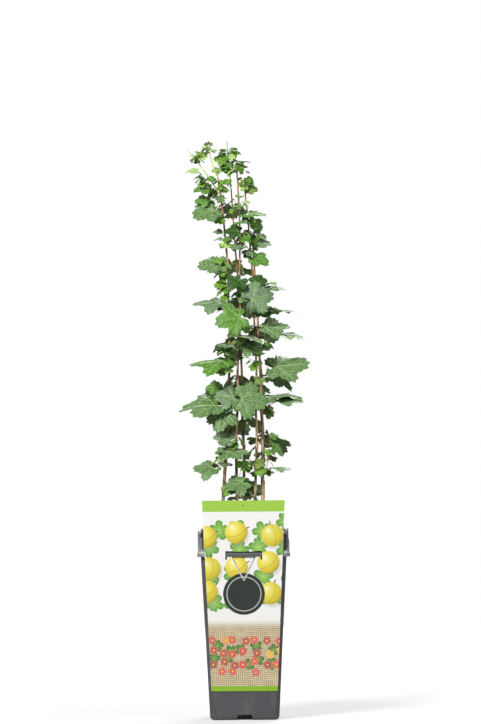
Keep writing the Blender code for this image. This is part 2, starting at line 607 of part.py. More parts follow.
def grow(sprigs, limbs):
    """Places every leaf, the leading ones of all sprigs first, each only where it is clear of the rest."""
    limb_trees = []
    for limb in limbs.values():
        bm = bmesh.new()
        tube(bm, limb.points, [r + TOUCH for r in limb.radii], 6)
        limb_trees.append(BVHTree.FromBMesh(bm))
        bm.free()
    twigs = {s.name: twig_points(s, limbs) for s in sprigs}
    taken = []
    for sprig in sprigs:
        bm = bmesh.new()
        tube(bm, twigs[sprig.name], [TWIG_RADIUS + BLADE_CLEAR] * 3, 4)
        taken.append((sprig.name, "twig", BVHTree.FromBMesh(bm)))
        bm.free()
    leaves = {s.name: [] for s in sprigs}
    dice = {s.name: random.Random(s.seed) for s in sprigs}
    for rank in range(max(len(s.leads) + s.more for s in sprigs)):
        for sprig in sprigs:
            if rank >= len(sprig.leads) + sprig.more:
                continue
            twig = twigs[sprig.name]
            centre = limbs[sprig.limb].at(sprig.height)[0]
            rule = lead_leaf if rank < len(sprig.leads) else follower
            for attempt in range(TRIES):
                leaf = rule(dice[sprig.name], sprig, twig, centre, rank, attempt)
                tip = leaf.frame @ Vector((leaf.blade, 0, 0))
                whole = leaf_tree(leaf, BLADE_CLEAR)
                bare = leaf_tree(leaf, BLADE_CLEAR, with_stalk=False)
                blocked = (tip - twig[0]).length > SPACE or any(whole.overlap(tree) for tree in limb_trees)
                for owner, kind, tree in taken:
                    own = owner == sprig.name
                    if not blocked and (not own or kind == "blade"):
                        blocked = bool((bare if own else whole).overlap(tree))
                if not blocked:
                    leaves[sprig.name].append(leaf)
                    taken.append((sprig.name, "whole", whole))
                    taken.append((sprig.name, "blade", bare))
                    break
    return twigs, leaves


def picture_way(degrees):
    """The direction that points that way in the picture plane: 0 right, 90 up."""
    return Vector((math.cos(math.radians(degrees)), 0, math.sin(math.radians(degrees))))


def all_sprigs():
    """The sprigs of every limb, named after it and numbered up the list."""
    made = []
    for limb, rows in SPRIGS.items():
        for height, rows_leads, more in rows:
            leads = [
                Lead(Vector(joint) * MM, picture_way(point), UP + FRONT * front**2, blade * MM)
                for *joint, blade, point, front in rows_leads
            ]
            made.append((limb, height and height * MM, leads, more))
    for limb, height, turn, out, blade in BACK_SPRIGS:
        way = Matrix.Rotation(math.radians(turn), 3, "Z") @ Vector((1, 0, 0))
        leads = [Lead(way * out * MM + UP * 4 * MM, way - UP * 0.25, UP + way * 0.8, blade * MM)]
        made.append((limb, height * MM, leads, 3))
    sprigs = []
    for limb, height, leads, more in made:
        number = 1 + sum(s.limb == limb for s in sprigs)
        name = f"leaves_{limb.split('_', 1)[1]}_{number:02d}"
        sprigs.append(Sprig(name, limb, height, leads, more, len(sprigs) + 1))
    return sprigs


def make_mass(sprig, twig, leaves, home, material):
    """One mass of foliage: the twig with its leaves and their stalks, fused into one solid."""
    bm = bmesh.new()
    tube(bm, twig, [TWIG_RADIUS, TWIG_RADIUS, TWIG_RADIUS * 0.9], 4)
    mass = place(bm, sprig.name, home, material)
    parts = helpers("parts_of_" + sprig.name)
    for number, leaf in enumerate(leaves):
        for kind, add in (("stalk", add_stalk), ("blade", add_blade)):
            bm = bmesh.new()
            add(bm, leaf)
            place(bm, f"{kind}_{number}", parts)
    combine(mass, parts, "UNION")
    return mass


def make_bush():
    clear_scene()
    home = collection("gooseberry_bush")
    plastic = paint("pot_plastic", (0.105, 0.11, 0.115), 0.55)
    peat = paint("compost", (0.05, 0.032, 0.02), 0.95)
    board = paint("printed_card", (0.8, 0.8, 0.74), 0.35)
    bark = paint("bark", (0.2, 0.13, 0.075), 0.8)
    green_bark = paint("green_shoot", (0.32, 0.45, 0.08), 0.6)
    foliage = paint("foliage", (0.1, 0.22, 0.08), 0.5)

    make_pot(home, plastic)
    make_soil(home, peat)
    make_card(home, board)
    limbs = make_limbs()
    for name, limb in limbs.items():
        bm = bmesh.new()
        tube(bm, limb.points, limb.radii, 7)
        place(bm, name, home, bark if name in STEMS else green_bark)
    sprigs = all_sprigs()
    twigs, leaves = grow(sprigs, limbs)
    for sprig in sprigs:
        make_mass(sprig, twigs[sprig.name], leaves[sprig.name], home, foliage)
    print(len(sprigs), "sprigs carry", sum(len(found) for found in leaves.values()), "leaves")


make_bush()
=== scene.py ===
# %% [markdown]
# # A gooseberry bush in its pot
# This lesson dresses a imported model: a young gooseberry bush with five slim stems, in a deep square pot
# with a printed card on its ledge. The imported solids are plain. Here they get fine leaves with teeth and
# veins, bark with relief, spines, crumbs on the compost, and a finish for every surface.
#
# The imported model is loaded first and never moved. Each new piece is made in the same metres and in the
# same place as the solid that it stands for.

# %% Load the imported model
import json
import math
import random
from collections import namedtuple

import bmesh
import bpy
from mathutils import Matrix, Vector, geometry, noise
from mathutils.bvhtree import BVHTree
from mathutils.kdtree import KDTree

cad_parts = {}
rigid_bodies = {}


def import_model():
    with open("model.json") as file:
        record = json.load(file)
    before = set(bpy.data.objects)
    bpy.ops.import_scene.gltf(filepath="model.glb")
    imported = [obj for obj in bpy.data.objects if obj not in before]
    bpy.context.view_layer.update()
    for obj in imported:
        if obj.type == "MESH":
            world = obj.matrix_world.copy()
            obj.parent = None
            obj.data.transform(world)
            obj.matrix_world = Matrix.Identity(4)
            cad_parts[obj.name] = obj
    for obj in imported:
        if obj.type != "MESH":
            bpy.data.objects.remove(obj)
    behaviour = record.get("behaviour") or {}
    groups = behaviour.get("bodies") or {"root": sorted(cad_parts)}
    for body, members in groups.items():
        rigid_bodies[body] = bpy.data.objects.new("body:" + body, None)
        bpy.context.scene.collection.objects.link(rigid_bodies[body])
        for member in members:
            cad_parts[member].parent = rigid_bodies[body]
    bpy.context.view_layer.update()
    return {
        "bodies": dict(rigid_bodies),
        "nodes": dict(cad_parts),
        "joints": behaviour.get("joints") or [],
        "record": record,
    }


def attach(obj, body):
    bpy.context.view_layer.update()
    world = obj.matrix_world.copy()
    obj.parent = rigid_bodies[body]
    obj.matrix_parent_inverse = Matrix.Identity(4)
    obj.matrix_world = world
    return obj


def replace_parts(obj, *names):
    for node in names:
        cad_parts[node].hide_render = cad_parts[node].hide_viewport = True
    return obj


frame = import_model()
nodes = frame["nodes"]
MASSES = sorted(name for name in nodes if name.startswith("leaves_"))
MM = 0.001
UP = Vector((0, 0, 1))
FRONT = Vector((0, -1, 0))
print(len(nodes), "nodes, of which", len(MASSES), "are masses of foliage")

# %% [markdown]
# ## Camera
# The photograph is tall and narrow, taken from far away with a long lens, just below the middle of the
# bush. A far camera keeps the pot's sides nearly parallel. The lens follows from one measure: how many
# pixels high a thing is that is as tall as it is far away.

# %% Camera
PICTURE_HIGH = 724
FOCAL_PIXELS = 4125
SENSOR = 36.0
CAMERA_PLACE = Vector((-0.0022, -5.0, 0.36))
CAMERA_TARGET = Vector((-0.0022, 0.0, 0.4308))
CAMERA_ROLL = math.radians(-0.4)


def add_object(name, data):
    """A new object of the scene."""
    made = bpy.data.objects.new(name, data)
    bpy.context.scene.collection.objects.link(made)
    return made


camera_data = bpy.data.cameras.new("camera")
camera_data.sensor_fit = "VERTICAL"
camera_data.sensor_height = SENSOR
camera_data.lens = FOCAL_PIXELS / PICTURE_HIGH * SENSOR
camera = add_object("camera", camera_data)
aim = (CAMERA_TARGET - CAMERA_PLACE).to_track_quat("-Z", "Y").to_matrix()
camera.matrix_world = Matrix.Translation(CAMERA_PLACE) @ (aim @ Matrix.Rotation(CAMERA_ROLL, 3, "Z")).to_4x4()
bpy.context.scene.camera = camera
print("lens", round(camera_data.lens, 1), "mm")

# %% [markdown]
# ## Shader maths as plain expressions
# A node material is a sum of small steps: scale a noise, cut it off, mix two colours. Wired by hand each
# step takes five lines. The class below holds one output socket, and every sum on it, such as `+` or
# `*`, adds the Math node for you, so a mask reads like the formula that it is.

# %% A socket that does sums
def sum_of(operation, swapped=False):
    """A method that adds one Math node for an operator."""

    def method(self, other):
        return self.math(operation, *((other, self) if swapped else (self, other)))

    return method


class Wire:
    """One output socket of a material's nodes. Arithmetic on it adds Math nodes."""

    __add__ = __radd__ = sum_of("ADD")
    __mul__ = __rmul__ = sum_of("MULTIPLY")
    __sub__, __rsub__ = sum_of("SUBTRACT"), sum_of("SUBTRACT", swapped=True)
    __truediv__, __pow__ = sum_of("DIVIDE"), sum_of("POWER")

    def __init__(self, tree, socket):
        self.tree = tree
        self.socket = socket

    def __abs__(self):
        return self.math("ABSOLUTE")

    def add(self, kind, inputs, settings=(), out=0):
        """Adds a node: its settings first, then the values or links of its sockets."""
        node = self.tree.nodes.new(kind)
        for name, value in dict(settings).items():
            if name == "stops":
                ramp = node.color_ramp
                while len(ramp.elements) < len(value):
                    ramp.elements.new(1.0)
                for element, (position, colour) in zip(ramp.elements, value):
                    element.position = position
                    element.color = (*colour, 1.0)
            else:
                setattr(node, name, value)
        for name, value in inputs.items():
            if isinstance(value, Wire):
                self.tree.links.new(value.socket, node.inputs[name])
            else:
                node.inputs[name].default_value = value
        return Wire(self.tree, node.outputs[out])

    def math(self, operation, *terms):
        return self.add("ShaderNodeMath", dict(enumerate(terms or (self,))), {"operation": operation})

    def axes(self):
        """The three parts of a vector."""
        node = self.add("ShaderNodeSeparateXYZ", {"Vector": self}).socket.node
        return [Wire(self.tree, socket) for socket in node.outputs]

    def noise(self, scale, detail=3.0, rough=0.5, stretch=(1.0, 1.0, 1.0)):
        place = self.add("ShaderNodeMapping", {"Vector": self, "Scale": stretch})
        inputs = {"Vector": place, "Scale": scale, "Detail": detail, "Roughness": rough}
        return self.add("ShaderNodeTexNoise", inputs)

    def ramp(self, *stops):
        return self.add("ShaderNodeValToRGB", {"Fac": self}, {"stops": stops})

    def step(self, low, high):
        """0 below low, 1 above high, and smooth between them. With low above high it falls."""
        ends = {"To Min": float(low > high), "To Max": float(low < high)}
        reach = {"From Min": min(low, high), "From Max": max(low, high)}
        settings = {"interpolation_type": "SMOOTHSTEP"}
        return self.add("ShaderNodeMapRange", {"Value": self, **reach, **ends}, settings)

    def blend(self, under, over):
        """Mixes two colours by this wire as the mask."""
        colours = [(*c, 1.0) if isinstance(c, tuple) else c for c in (under, over)]
        inputs = {0: self, 6: colours[0], 7: colours[1]}
        return self.add("ShaderNodeMix", inputs, {"data_type": "RGBA"}, out=2)

    def bump(self, depth):
        """The normal of a surface that this wire raises by up to the depth in metres."""
        return self.add("ShaderNodeBump", {"Height": self, "Distance": depth, "Strength": 1.0})


def finish(name, **constants):
    """A Principled material with fixed values, and the Object coordinate that its patterns read."""
    made = bpy.data.materials.new(name)
    made.use_nodes = True
    shader = made.node_tree.nodes["Principled BSDF"]
    for key, value in constants.items():
        shader.inputs[key.replace("_", " ")].default_value = value
    coordinates = made.node_tree.nodes.new("ShaderNodeTexCoord")
    return made, Wire(made.node_tree, coordinates.outputs["Object"])


def wear(made, sockets):
    """Feeds wires into the sockets of a material's shader."""
    shader = made.node_tree.nodes["Principled BSDF"]
    for name, wire in sockets.items():
        made.node_tree.links.new(wire.socket, shader.inputs[name])
    return made


def surface(made, colour, rough, normal):
    """Feeds the three sockets that a finish varies."""
    return wear(made, {"Base Color": colour, "Roughness": rough, "Normal": normal})


# %% [markdown]
# ## Floor and light
# Plants are often photographed on a white sweep under soft lamps, so that their green stays clean. A pale
# floor, a white sky and three area lights do the same: a key from the upper left, a weak fill from the
# right, and one behind that lights the rims of the leaves. A white room would light every leaf from
# everywhere and flatten it. So the sky is white to look at but gives little light, and the floor's own
# glow isn't passed on to the plant: the key is what models the leaves.

# %% Floor and light
FLOOR_RADIUS = 2.2
FLOOR_GREY = 0.22
# How far out the floor's glow starts and ends to grow, and its least and most
GLOW = {"From Min": 0.25, "From Max": 1.5, "To Min": 0.5, "To Max": 0.95}
SKY_LIGHT = 0.36
WHITE = (1.0, 1.0, 1.0, 1.0)
# Each lamp's place, side, watts and colour
LAMPS = {
    "key": ((-1.5, -2.4, 2.3), 0.7, 195.0, (1.0, 0.985, 0.96)),
    "fill": ((2.1, -1.9, 0.9), 1.6, 42.0, (0.97, 0.98, 1.0)),
    "rim": ((0.7, 2.2, 1.8), 1.4, 72.0, (1.0, 1.0, 0.97)),
}
LIT_POINT = Vector((0, 0, 0.38))

world = bpy.data.worlds.new("white_sky")
world.use_nodes = True
sky = world.node_tree
looked_at = Wire(sky, sky.nodes.new("ShaderNodeLightPath").outputs["Is Camera Ray"])
strength = looked_at.add("ShaderNodeMapRange", {"Value": looked_at, "To Min": SKY_LIGHT})
sky.links.new(strength.socket, sky.nodes["Background"].inputs["Strength"])
sky.nodes["Background"].inputs["Color"].default_value = WHITE
bpy.context.scene.world = world
bpy.context.scene.view_settings.view_transform = "Standard"

for name, (place, side, power, colour) in LAMPS.items():
    lamp_data = bpy.data.lights.new(name, "AREA")
    lamp_data.size = side
    lamp_data.energy = power
    lamp_data.color = colour
    lamp = add_object(name, lamp_data)
    lamp.location = place
    lamp.rotation_euler = (LIT_POINT - Vector(place)).to_track_quat("-Z", "Y").to_euler()

grey = (FLOOR_GREY, FLOOR_GREY, FLOOR_GREY, 1.0)
floor_paint, at = finish("floor_paint", Base_Color=grey, Roughness=0.9, Emission_Strength=1.0)
distance = at.add("ShaderNodeVectorMath", {0: at}, {"operation": "LENGTH"}, out="Value")
glow = distance.add("ShaderNodeMapRange", {"Value": distance, **GLOW})
wear(floor_paint, {"Emission Color": glow})
floor_bm = bmesh.new()
bmesh.ops.create_circle(floor_bm, cap_ends=True, segments=96, radius=FLOOR_RADIUS)
floor_mesh = bpy.data.meshes.new("floor")
floor_bm.to_mesh(floor_mesh)
floor_bm.free()
floor_mesh.materials.append(floor_paint)
floor = add_object("floor", floor_mesh)
floor.visible_diffuse = False
floor.visible_glossy = False
print(len(LAMPS), "lamps")

# %% [markdown]
# ## Pieces
# Every piece ends the same way: a bmesh becomes a mesh object at the origin, gets its materials and rides on
# the body called root. Small things such as leaves are poured into one joined piece for each kind, which
# keeps the scene light.

# %% Making pieces
joined = {}


def make_piece(bm, name, slot, *materials, sharp=math.radians(40)):
    mesh = bpy.data.meshes.new(name)
    bm.to_mesh(mesh)
    bm.free()
    for material in materials:
        mesh.materials.append(material)
    mesh.shade_smooth()
    mesh.set_sharp_from_angle(angle=sharp)
    made = add_object(name, mesh)
    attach(made, "root")
    return made


def merge(bm, small):
    """Adds a small bmesh to another."""
    carrier = bpy.data.meshes.new("carrier")
    small.to_mesh(carrier)
    small.free()
    bm.from_mesh(carrier, face_normals=False, vertex_normals=False)
    bpy.data.meshes.remove(carrier)


def pour(small, kind):
    """Adds a small bmesh to the joined piece of its kind."""
    if kind not in joined:
        joined[kind] = bmesh.new()
    merge(joined[kind], small)


def tube(bm, points, radii, sides):
    """Sweeps a polygon along the points by extruding its end face from each frame to the next."""
    turn = UP.rotation_difference(points[1] - points[0])
    frames = []
    for index, (point, radius) in enumerate(zip(points, radii)):
        if index:
            ahead = points[min(index + 1, len(points) - 1)] - points[index - 1]
            turn = (turn @ UP).rotation_difference(ahead) @ turn
        frames.append(Matrix.LocRotScale(point, turn, (radius,) * 3))
    ring = bmesh.ops.create_circle(bm, cap_ends=True, segments=sides, radius=1.0, matrix=frames[0])["verts"]
    end = ring[0].link_faces[0]
    for before, after in zip(frames, frames[1:]):
        grown = bmesh.ops.extrude_face_region(bm, geom=[end, *end.edges, *end.verts])["geom"]
        end = next(g for g in grown if isinstance(g, bmesh.types.BMFace))
        bmesh.ops.transform(bm, matrix=after @ before.inverted(), verts=end.verts)


def rod(points, radii, sides):
    """The same tube as a bmesh of its own."""
    bm = bmesh.new()
    tube(bm, points, radii, sides)
    return bm


def even(start, end, count):
    """Numbers from start to end in even steps."""
    return [start + (end - start) * i / (count - 1) for i in range(count)]


def tree_of(bm):
    """A search tree of a bmesh that isn't needed any more."""
    found = BVHTree.FromBMesh(bm)
    bm.free()
    return found


def smooth_line(points, steps):
    """A rounder line through the same points, with so many steps between each two."""
    found = []
    for index in range(len(points) - 1):
        before, start = points[max(0, index - 1)], points[index]
        end, after = points[index + 1], points[min(len(points) - 1, index + 2)]
        knots = (start, start + (end - before) / 6, end - (after - start) / 6, end)
        found.extend(geometry.interpolate_bezier(*knots, steps + 1)[:-1])
    return [*found, points[-1]]


# %% [markdown]
# ## The limbs
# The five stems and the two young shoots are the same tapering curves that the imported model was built
# from, in the same tables, so a fine stem lies exactly where its solid is. Each curve has a foot, two
# handles and a tip, and a slight sway so that it doesn't look drawn.

# %% The limbs' curves
TOUCH = 0.3 * MM
FLARE = 0.9 * MM
SWAY = 0.7 * MM
STEMS = {
    "stem_left": ((-29, 3, 207), (-17, 2, 345), (-6, 4, 515), (-28, 1, 655), 2.3, 1.0),
    "stem_front": ((-4, -4, 207), (-17, -6, 330), (6, -3, 500), (-5, -3, 664), 2.2, 0.9),
    "stem_middle": ((13, 2, 207), (17, 7, 330), (22, 9, 480), (4, 5, 645), 2.0, 0.9),
    "stem_right": ((21, 9, 207), (28, 11, 320), (22, 7, 440), (14, 6, 572), 2.8, 1.1),
    "stem_back": ((0, 16, 207), (4, 27, 340), (-4, 17, 560), (-17, 6, 699), 2.3, 0.6),
}
SHOOTS = {
    "shoot_long": ("stem_left", 636, (-38, -5, 654), (-50, -4, 671), (-63.8, -3, 688), 1.0, 0.5),
    "shoot_pale": ("stem_left", None, (-33, -4, 664), (-36, -3, 676), (-38.4, -3, 688), 0.9, 0.5),
}


class Limb:
    """One tapering limb: the points of its centre line from foot to tip, and its radius at each."""

    steps = 13

    def __init__(self, name, knots, foot_radius, tip_radius, flare, sway):
        self.name = name
        self.points, self.radii = [], []
        curve = geometry.interpolate_bezier(*(Vector(k) * MM for k in knots), self.steps)
        phase = random.Random(name).uniform(0, math.tau)
        for index, point in enumerate(curve):
            share = index / (self.steps - 1)
            swing = sway * math.sin(math.pi * share)
            angle = phase + 4.5 * math.tau * share
            self.points.append(point + Vector((math.sin(angle), math.cos(angle), 0)) * swing)
            taper = foot_radius + (tip_radius - foot_radius) * share**0.8
            self.radii.append(taper * MM + flare * math.exp(-30 * share))

    def at(self, height):
        """The centre, the radius and the direction of the limb at a height, or at its tip for None."""
        last = len(self.points) - 1
        index = last if height is None else next(i for i in range(1, last + 1) if self.points[i].z >= height)
        low, high = self.points[index - 1], self.points[index]
        share = 1.0 if height is None else (height - low.z) / (high.z - low.z)
        radius = self.radii[index - 1] + (self.radii[index] - self.radii[index - 1]) * share
        return low.lerp(high, share), radius, (high - low).normalized()


limbs = {}
for name, (*knots, foot_radius, tip_radius) in STEMS.items():
    limbs[name] = Limb(name, knots, foot_radius, tip_radius, FLARE, SWAY)
    limbs[name].points[0].z += TOUCH
for name, (parent, height, *knots, foot_radius, tip_radius) in SHOOTS.items():
    centre, radius, along = limbs[parent].at(height and height * MM)
    away = (Vector(knots[0]) * MM - centre).normalized()
    if height is None:
        foot = centre + along * (TOUCH + foot_radius * MM * away.cross(along).length)
    else:
        side = (away - along * away.dot(along)).normalized()
        foot = centre + side * (radius + TOUCH + foot_radius * MM * abs(away.dot(along)))
    limbs[name] = Limb(name, (foot / MM, *knots), foot_radius, tip_radius, 0.0, 0.0)
print(len(limbs), "limbs up to", round(max(p.z for l in limbs.values() for p in l.points) / MM), "mm")

# %% [markdown]
# ## Where the sprigs are
# Each row is one sprig of a limb: the height of its foot, its leading leaves, and how many smaller leaves
# follow them. A leading leaf has its joint right, back and up from the limb, its blade's length, where it
# points in the picture plane (0 right, 90 up) and how much its upper side turns to the front.

# %% The sprigs' tables
SPRIGS = {
    "stem_left": (
        (308, ((-16, -6, -5, 24, 180, 0.9), (3, -12, 1, 17, 192, 0.4)), 0),
        (371, ((-16, -6, 7, 45, 160, 0.63),), 1),
        (424, ((-9, -5, 8, 41, 178, 0.55), (-7, -8, -6, 10, 170, 0.8), (1, -12, -2, 12, 185, 0.8)), 0),
        (449, ((2, -13, 2, 17, 190, 0.5),), 1),
        (500, ((-12, -5, 4, 33, 195, 0.6), (-1, -10, 9, 10, 165, 0.9)), 1),
        (522, ((-7, -9, 3, 11, 200, 1.0), (-3, -9, 9, 10, 130, 1.0), (0, -12, -3, 11, 195, 0.8)), 0),
        (550, ((-10, -6, -1, 27, 183, 0.86), (-6, -9, -9, 13, 225, 0.8)), 0),
        (574, ((4, -11, 0, 11, 190, 1.0), (-4, -5, 6, 11, 165, 0.5), (-4, -4, 15, 11, 160, 0.6)), 0),
        (612, ((-13, -8, 3, 27, 217, 1.0), (-19, -1, 17, 16, 197, 0.9), (-1, -8, -8, 11, 215, 1.0)), 0),
        (632, ((-16, -5, 10, 18, 215, 0.72), (3, -9, -4, 11, 150, 0.9)), 0),
        (645, ((7, -6, 4, 9, 20, 0.9), (4, -6, -5, 8, 340, 1.0), (-5, -7, 6, 7, 170, 1.0)), 1),
    ),
    "stem_front": (
        (286, ((7, -12, -1, 24, 212, 1.0), (5, -9, 18, 14, 65, 1.0)), 1),
        (331, ((-6, -10, 0, 28, 57, 0.42), (-7, -5, 5, 20, 160, 0.76), (-10, -10, -6, 15, 250, 0.9)), 0),
        (384, ((5, -16, 2, 32, 352, 1.9), (-3, -9, 3, 24, 170, 1.1)), 1),
        (459, ((-4, -17, 1, 33, 321, 0.35),), 1),
        (478, ((-2, -15, 4, 30, 200, 1.4),), 1),
        (516, ((14, -17, -10, 29, 18, 1.8), (0, -12, 14, 20, 235, 1.0), (6, -11, -7, 12, 165, 1.2)), 0),
        (580, ((-3, -10, 9, 17, 170, 1.0), (-7, -10, -9, 13, 10, 0.8), (0, -8, 20, 16, 280, 0.4)), 1),
        (620, ((-2, -8, 0, 11, 275, 0.5), (0, -7, 11, 8, 80, 0.7)), 1),
        (None, ((-1, -3, 10, 18, 12, 0.4), (1, -6, 3, 13, 3, 0.8), (-7, -5, 6, 7, 150, 1.0)), 2),
    ),
    "stem_middle": (
        (302, ((1, -10, 4, 15, 60, 0.9),), 2),
        (428, ((1, -10, -19, 12, 20, 0.9), (-1, -12, 12, 12, 335, 0.5)), 1),
        (522, ((5, -9, 5, 16, 85, 1.1), (-3, -12, -5, 10, 115, 1.0)), 1),
        (566, ((-2, -9, -1, 11, 200, 0.8),), 2),
        (609, ((1, -9, 0, 25, 300, 0.45),), 1),
        (None, ((5, -5, -4, 12, 358, 1.2),), 3),
    ),
    "stem_right": (
        (312, ((14, -5, -10, 21, 355, 0.35), (6, -8, -13, 13, 95, 0.9), (10, -6, 29, 10, 20, 0.8)), 1),
        (373, ((20, -7, 10, 31, 357, 0.46), (13, 2, 15, 37, 5, 0.42)), 0),
        (414, ((19, -6, 11, 41, 13, 0.85),), 1),
        (451, ((24, -3, 13, 32, 5, 0.4), (8, -14, 21, 31, 8, 0.79), (4, -10, -4, 10, 30, 0.7)), 0),
        (491, ((29, 3, 2, 19, 358, 0.3), (17, -4, 2, 12, 50, 1.0), (6, -9, 3, 17, 285, 0.9)), 0),
        (522, ((18, -2, -1, 19, 4, 0.5), (13, 2, 4, 16, 82, 0.4)), 1),
        (None, ((2, -11, -15, 19, 325, 1.0), (6, -5, 3, 17, 20, 0.8)), 2),
    ),
    "stem_back": (
        (672, ((-6, -8, 5, 13, 180, 1.1), (-14, -5, -8, 10, 200, 0.9), (-11, -2, 12, 8, 130, 0.9)), 2),
        (684, ((5, -5, 0, 9, 350, 0.9), (-4, -6, 4, 7, 150, 0.8)), 1),
    ),
    "shoot_long": (
        (654, ((-16, -2, 9, 13, 190, 0.65),), 0),
        (677, ((7, -2, 3, 8, 15, 1.0), (-2, -3, 4, 6, 178, 0.5)), 0),
    ),
    "shoot_pale": ((None, ((-4, -1, 1, 6, 150, 0.6), (4, -2, -1, 6, 20, 0.8)), 1),),
}

# At the back: the limb, the height of the foot, the turn round the limb, how far out the joint is, and
# the blade's length
BACK_SPRIGS = (
    ("stem_back", 276, 88, 15, 30),
    ("stem_right", 334, 48, 16, 31),
    ("stem_back", 352, 124, 17, 33),
    ("stem_back", 404, 58, 17, 35),
    ("stem_left", 396, 118, 14, 27),
    ("stem_back", 452, 106, 17, 33),
    ("stem_right", 466, 62, 14, 27),
    ("stem_back", 500, 70, 16, 29),
    ("stem_back", 548, 120, 15, 27),
    ("stem_middle", 584, 72, 13, 22),
    ("stem_back", 616, 92, 13, 21),
)

Sprig = namedtuple("Sprig", "name limb height leads more seed")
Lead = namedtuple("Lead", "joint heading face blade")
Leaf = namedtuple("Leaf", "root bend joint frame blade fold droop")


def picture_way(degrees):
    """The direction that points that way in the picture plane: 0 right, 90 up."""
    return Vector((math.cos(math.radians(degrees)), 0, math.sin(math.radians(degrees))))


def all_sprigs():
    """The sprigs of every limb, named after it and numbered up the list."""
    made = []
    for limb, rows in SPRIGS.items():
        for height, rows_leads, more in rows:
            leads = [
                Lead(Vector(joint) * MM, picture_way(point), UP + FRONT * front**2, blade * MM)
                for *joint, blade, point, front in rows_leads
            ]
            made.append((limb, height and height * MM, leads, more))
    for limb, height, turn, out, blade in BACK_SPRIGS:
        way = Matrix.Rotation(math.radians(turn), 3, "Z") @ Vector((1, 0, 0))
        leads = [Lead(way * out * MM + UP * 4 * MM, way - UP * 0.25, UP + way * 0.8, blade * MM)]
        made.append((limb, height * MM, leads, 3))
    sprigs = []
    for limb, height, leads, more in made:
        number = 1 + sum(s.limb == limb for s in sprigs)
        name = f"leaves_{limb.split('_', 1)[1]}_{number:02d}"
        sprigs.append(Sprig(name, limb, height, leads, more, len(sprigs) + 1))
    return sprigs


sprigs = all_sprigs()
assert sorted(s.name for s in sprigs) == MASSES
print(len(sprigs), "sprigs")

# %% [markdown]
# ## Growing the leaves
# A leaf's place is found by trial. The leading leaf goes where the table has it, a follower where a seeded
# rule puts it, and a search tree tells whether it would touch a limb, a twig or another leaf. If so it is
# moved a little further, and after some tries it is left out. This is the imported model's own rule with
# the same seeds, so every fine leaf comes out where its solid is.

# %% A leaf's plain shape, for testing what is clear
TWIG_RADIUS = 1.0 * MM
TWIG_SHARE, TWIG_MOST = 0.35, 7 * MM
STALK_RADIUS = 0.55 * MM
STALK_SUNK = 0.1
LARGE_BLADE = 30 * MM
LEAST_BLADE = 6 * MM
HUB_SHARE = 0.24
BLADE_THICK_SHARE = 0.014
BLADE_LEAST_THICK = 0.4 * MM
BLADE_CLEAR = 0.35 * MM
SPACE = 66 * MM
DRIFT = 0.8 * MM
LEAST_OUT = 6 * MM
TRIES = 22

# Each lobe of a blade: its vein's angle off the midrib, its length and its half width in degrees
LOBES = ((0.0, 1.0, 38.0), (58.0, 0.86, 34.0), (112.0, 0.54, 42.0))
LOBE_BLUNT, TEETH = 0.5, 2.6
EDGE_LEAST = 0.1
FOLDS = (0.05, 0.18)
DROOPS = (0.0, 0.16)
SPOKES = (12, 31, 47, 69, 87, 112, 150)
SMALL_SPOKES = (12, 31, 60, 106, 150)
SMALL_BLADE = 12.5 * MM


def blade_edge(angle, blunt=LOBE_BLUNT, tooth=0.0):
    """How far the edge of a blade of length 1 lies from its stalk, at an angle in degrees off the midrib."""
    found = EDGE_LEAST
    for middle, length, half in LOBES:
        off = min(1.0, abs(abs(angle) - middle) / half)
        notch = tooth * (1 - abs(math.cos(math.pi * TEETH * off)))
        found = max(found, length * math.cos(off * math.pi / 2) ** blunt * (1 - notch))
    return found


def blade_rise(angle, share, fold, droop):
    """How high a blade of length 1 stands there: it rises between the veins and droops to its tips."""
    between = min(abs(abs(angle) - middle) / half for middle, length, half in LOBES)
    return share * fold * min(1.0, between) - droop * share * share


def add_blade(bm, leaf, extra=0.0):
    """The blade as a fan of facets with its five lobes, thickened downwards."""
    spokes = SPOKES if leaf.blade > SMALL_BLADE else SMALL_SPOKES
    angles = sorted([*spokes, *(-a for a in spokes)])
    fan = bmesh.ops.create_circle(bm, cap_ends=True, cap_tris=True, segments=len(angles), radius=1.0)
    made = fan["verts"]
    rim = sorted((v for v in made if v.co.length > 0.5), key=lambda v: math.atan2(v.co.y, v.co.x))
    hub = next(v for v in made if v.co.length < 0.5)
    for vert, angle, share in [(v, a, blade_edge(a)) for v, a in zip(rim, angles)] + [(hub, 0, HUB_SHARE)]:
        flat = Vector((math.cos(math.radians(angle)), math.sin(math.radians(angle)), 0)) * share
        vert.co = (flat + UP * blade_rise(angle, share, leaf.fold, leaf.droop)) * leaf.blade
    thick = max(BLADE_LEAST_THICK, BLADE_THICK_SHARE * leaf.blade) + 2 * extra
    faces = list({f for v in made for f in v.link_faces})
    bmesh.ops.translate(bm, verts=made, vec=UP * thick / 2)
    lower = bmesh.ops.extrude_face_region(bm, geom=faces, use_keep_orig=True)["geom"]
    lower_verts = [g for g in lower if isinstance(g, bmesh.types.BMVert)]
    bmesh.ops.translate(bm, verts=lower_verts, vec=-UP * thick)
    bmesh.ops.transform(bm, matrix=leaf.frame, verts=made + lower_verts)


def stalk_end(leaf):
    """Where the stalk ends, a little way inside the blade."""
    return leaf.joint + leaf.frame.to_3x3() @ Vector((1, 0, 0)) * leaf.blade * STALK_SUNK


def stalk_radius(leaf):
    return STALK_RADIUS * (0.5 + 0.5 * min(1.0, leaf.blade / LARGE_BLADE))


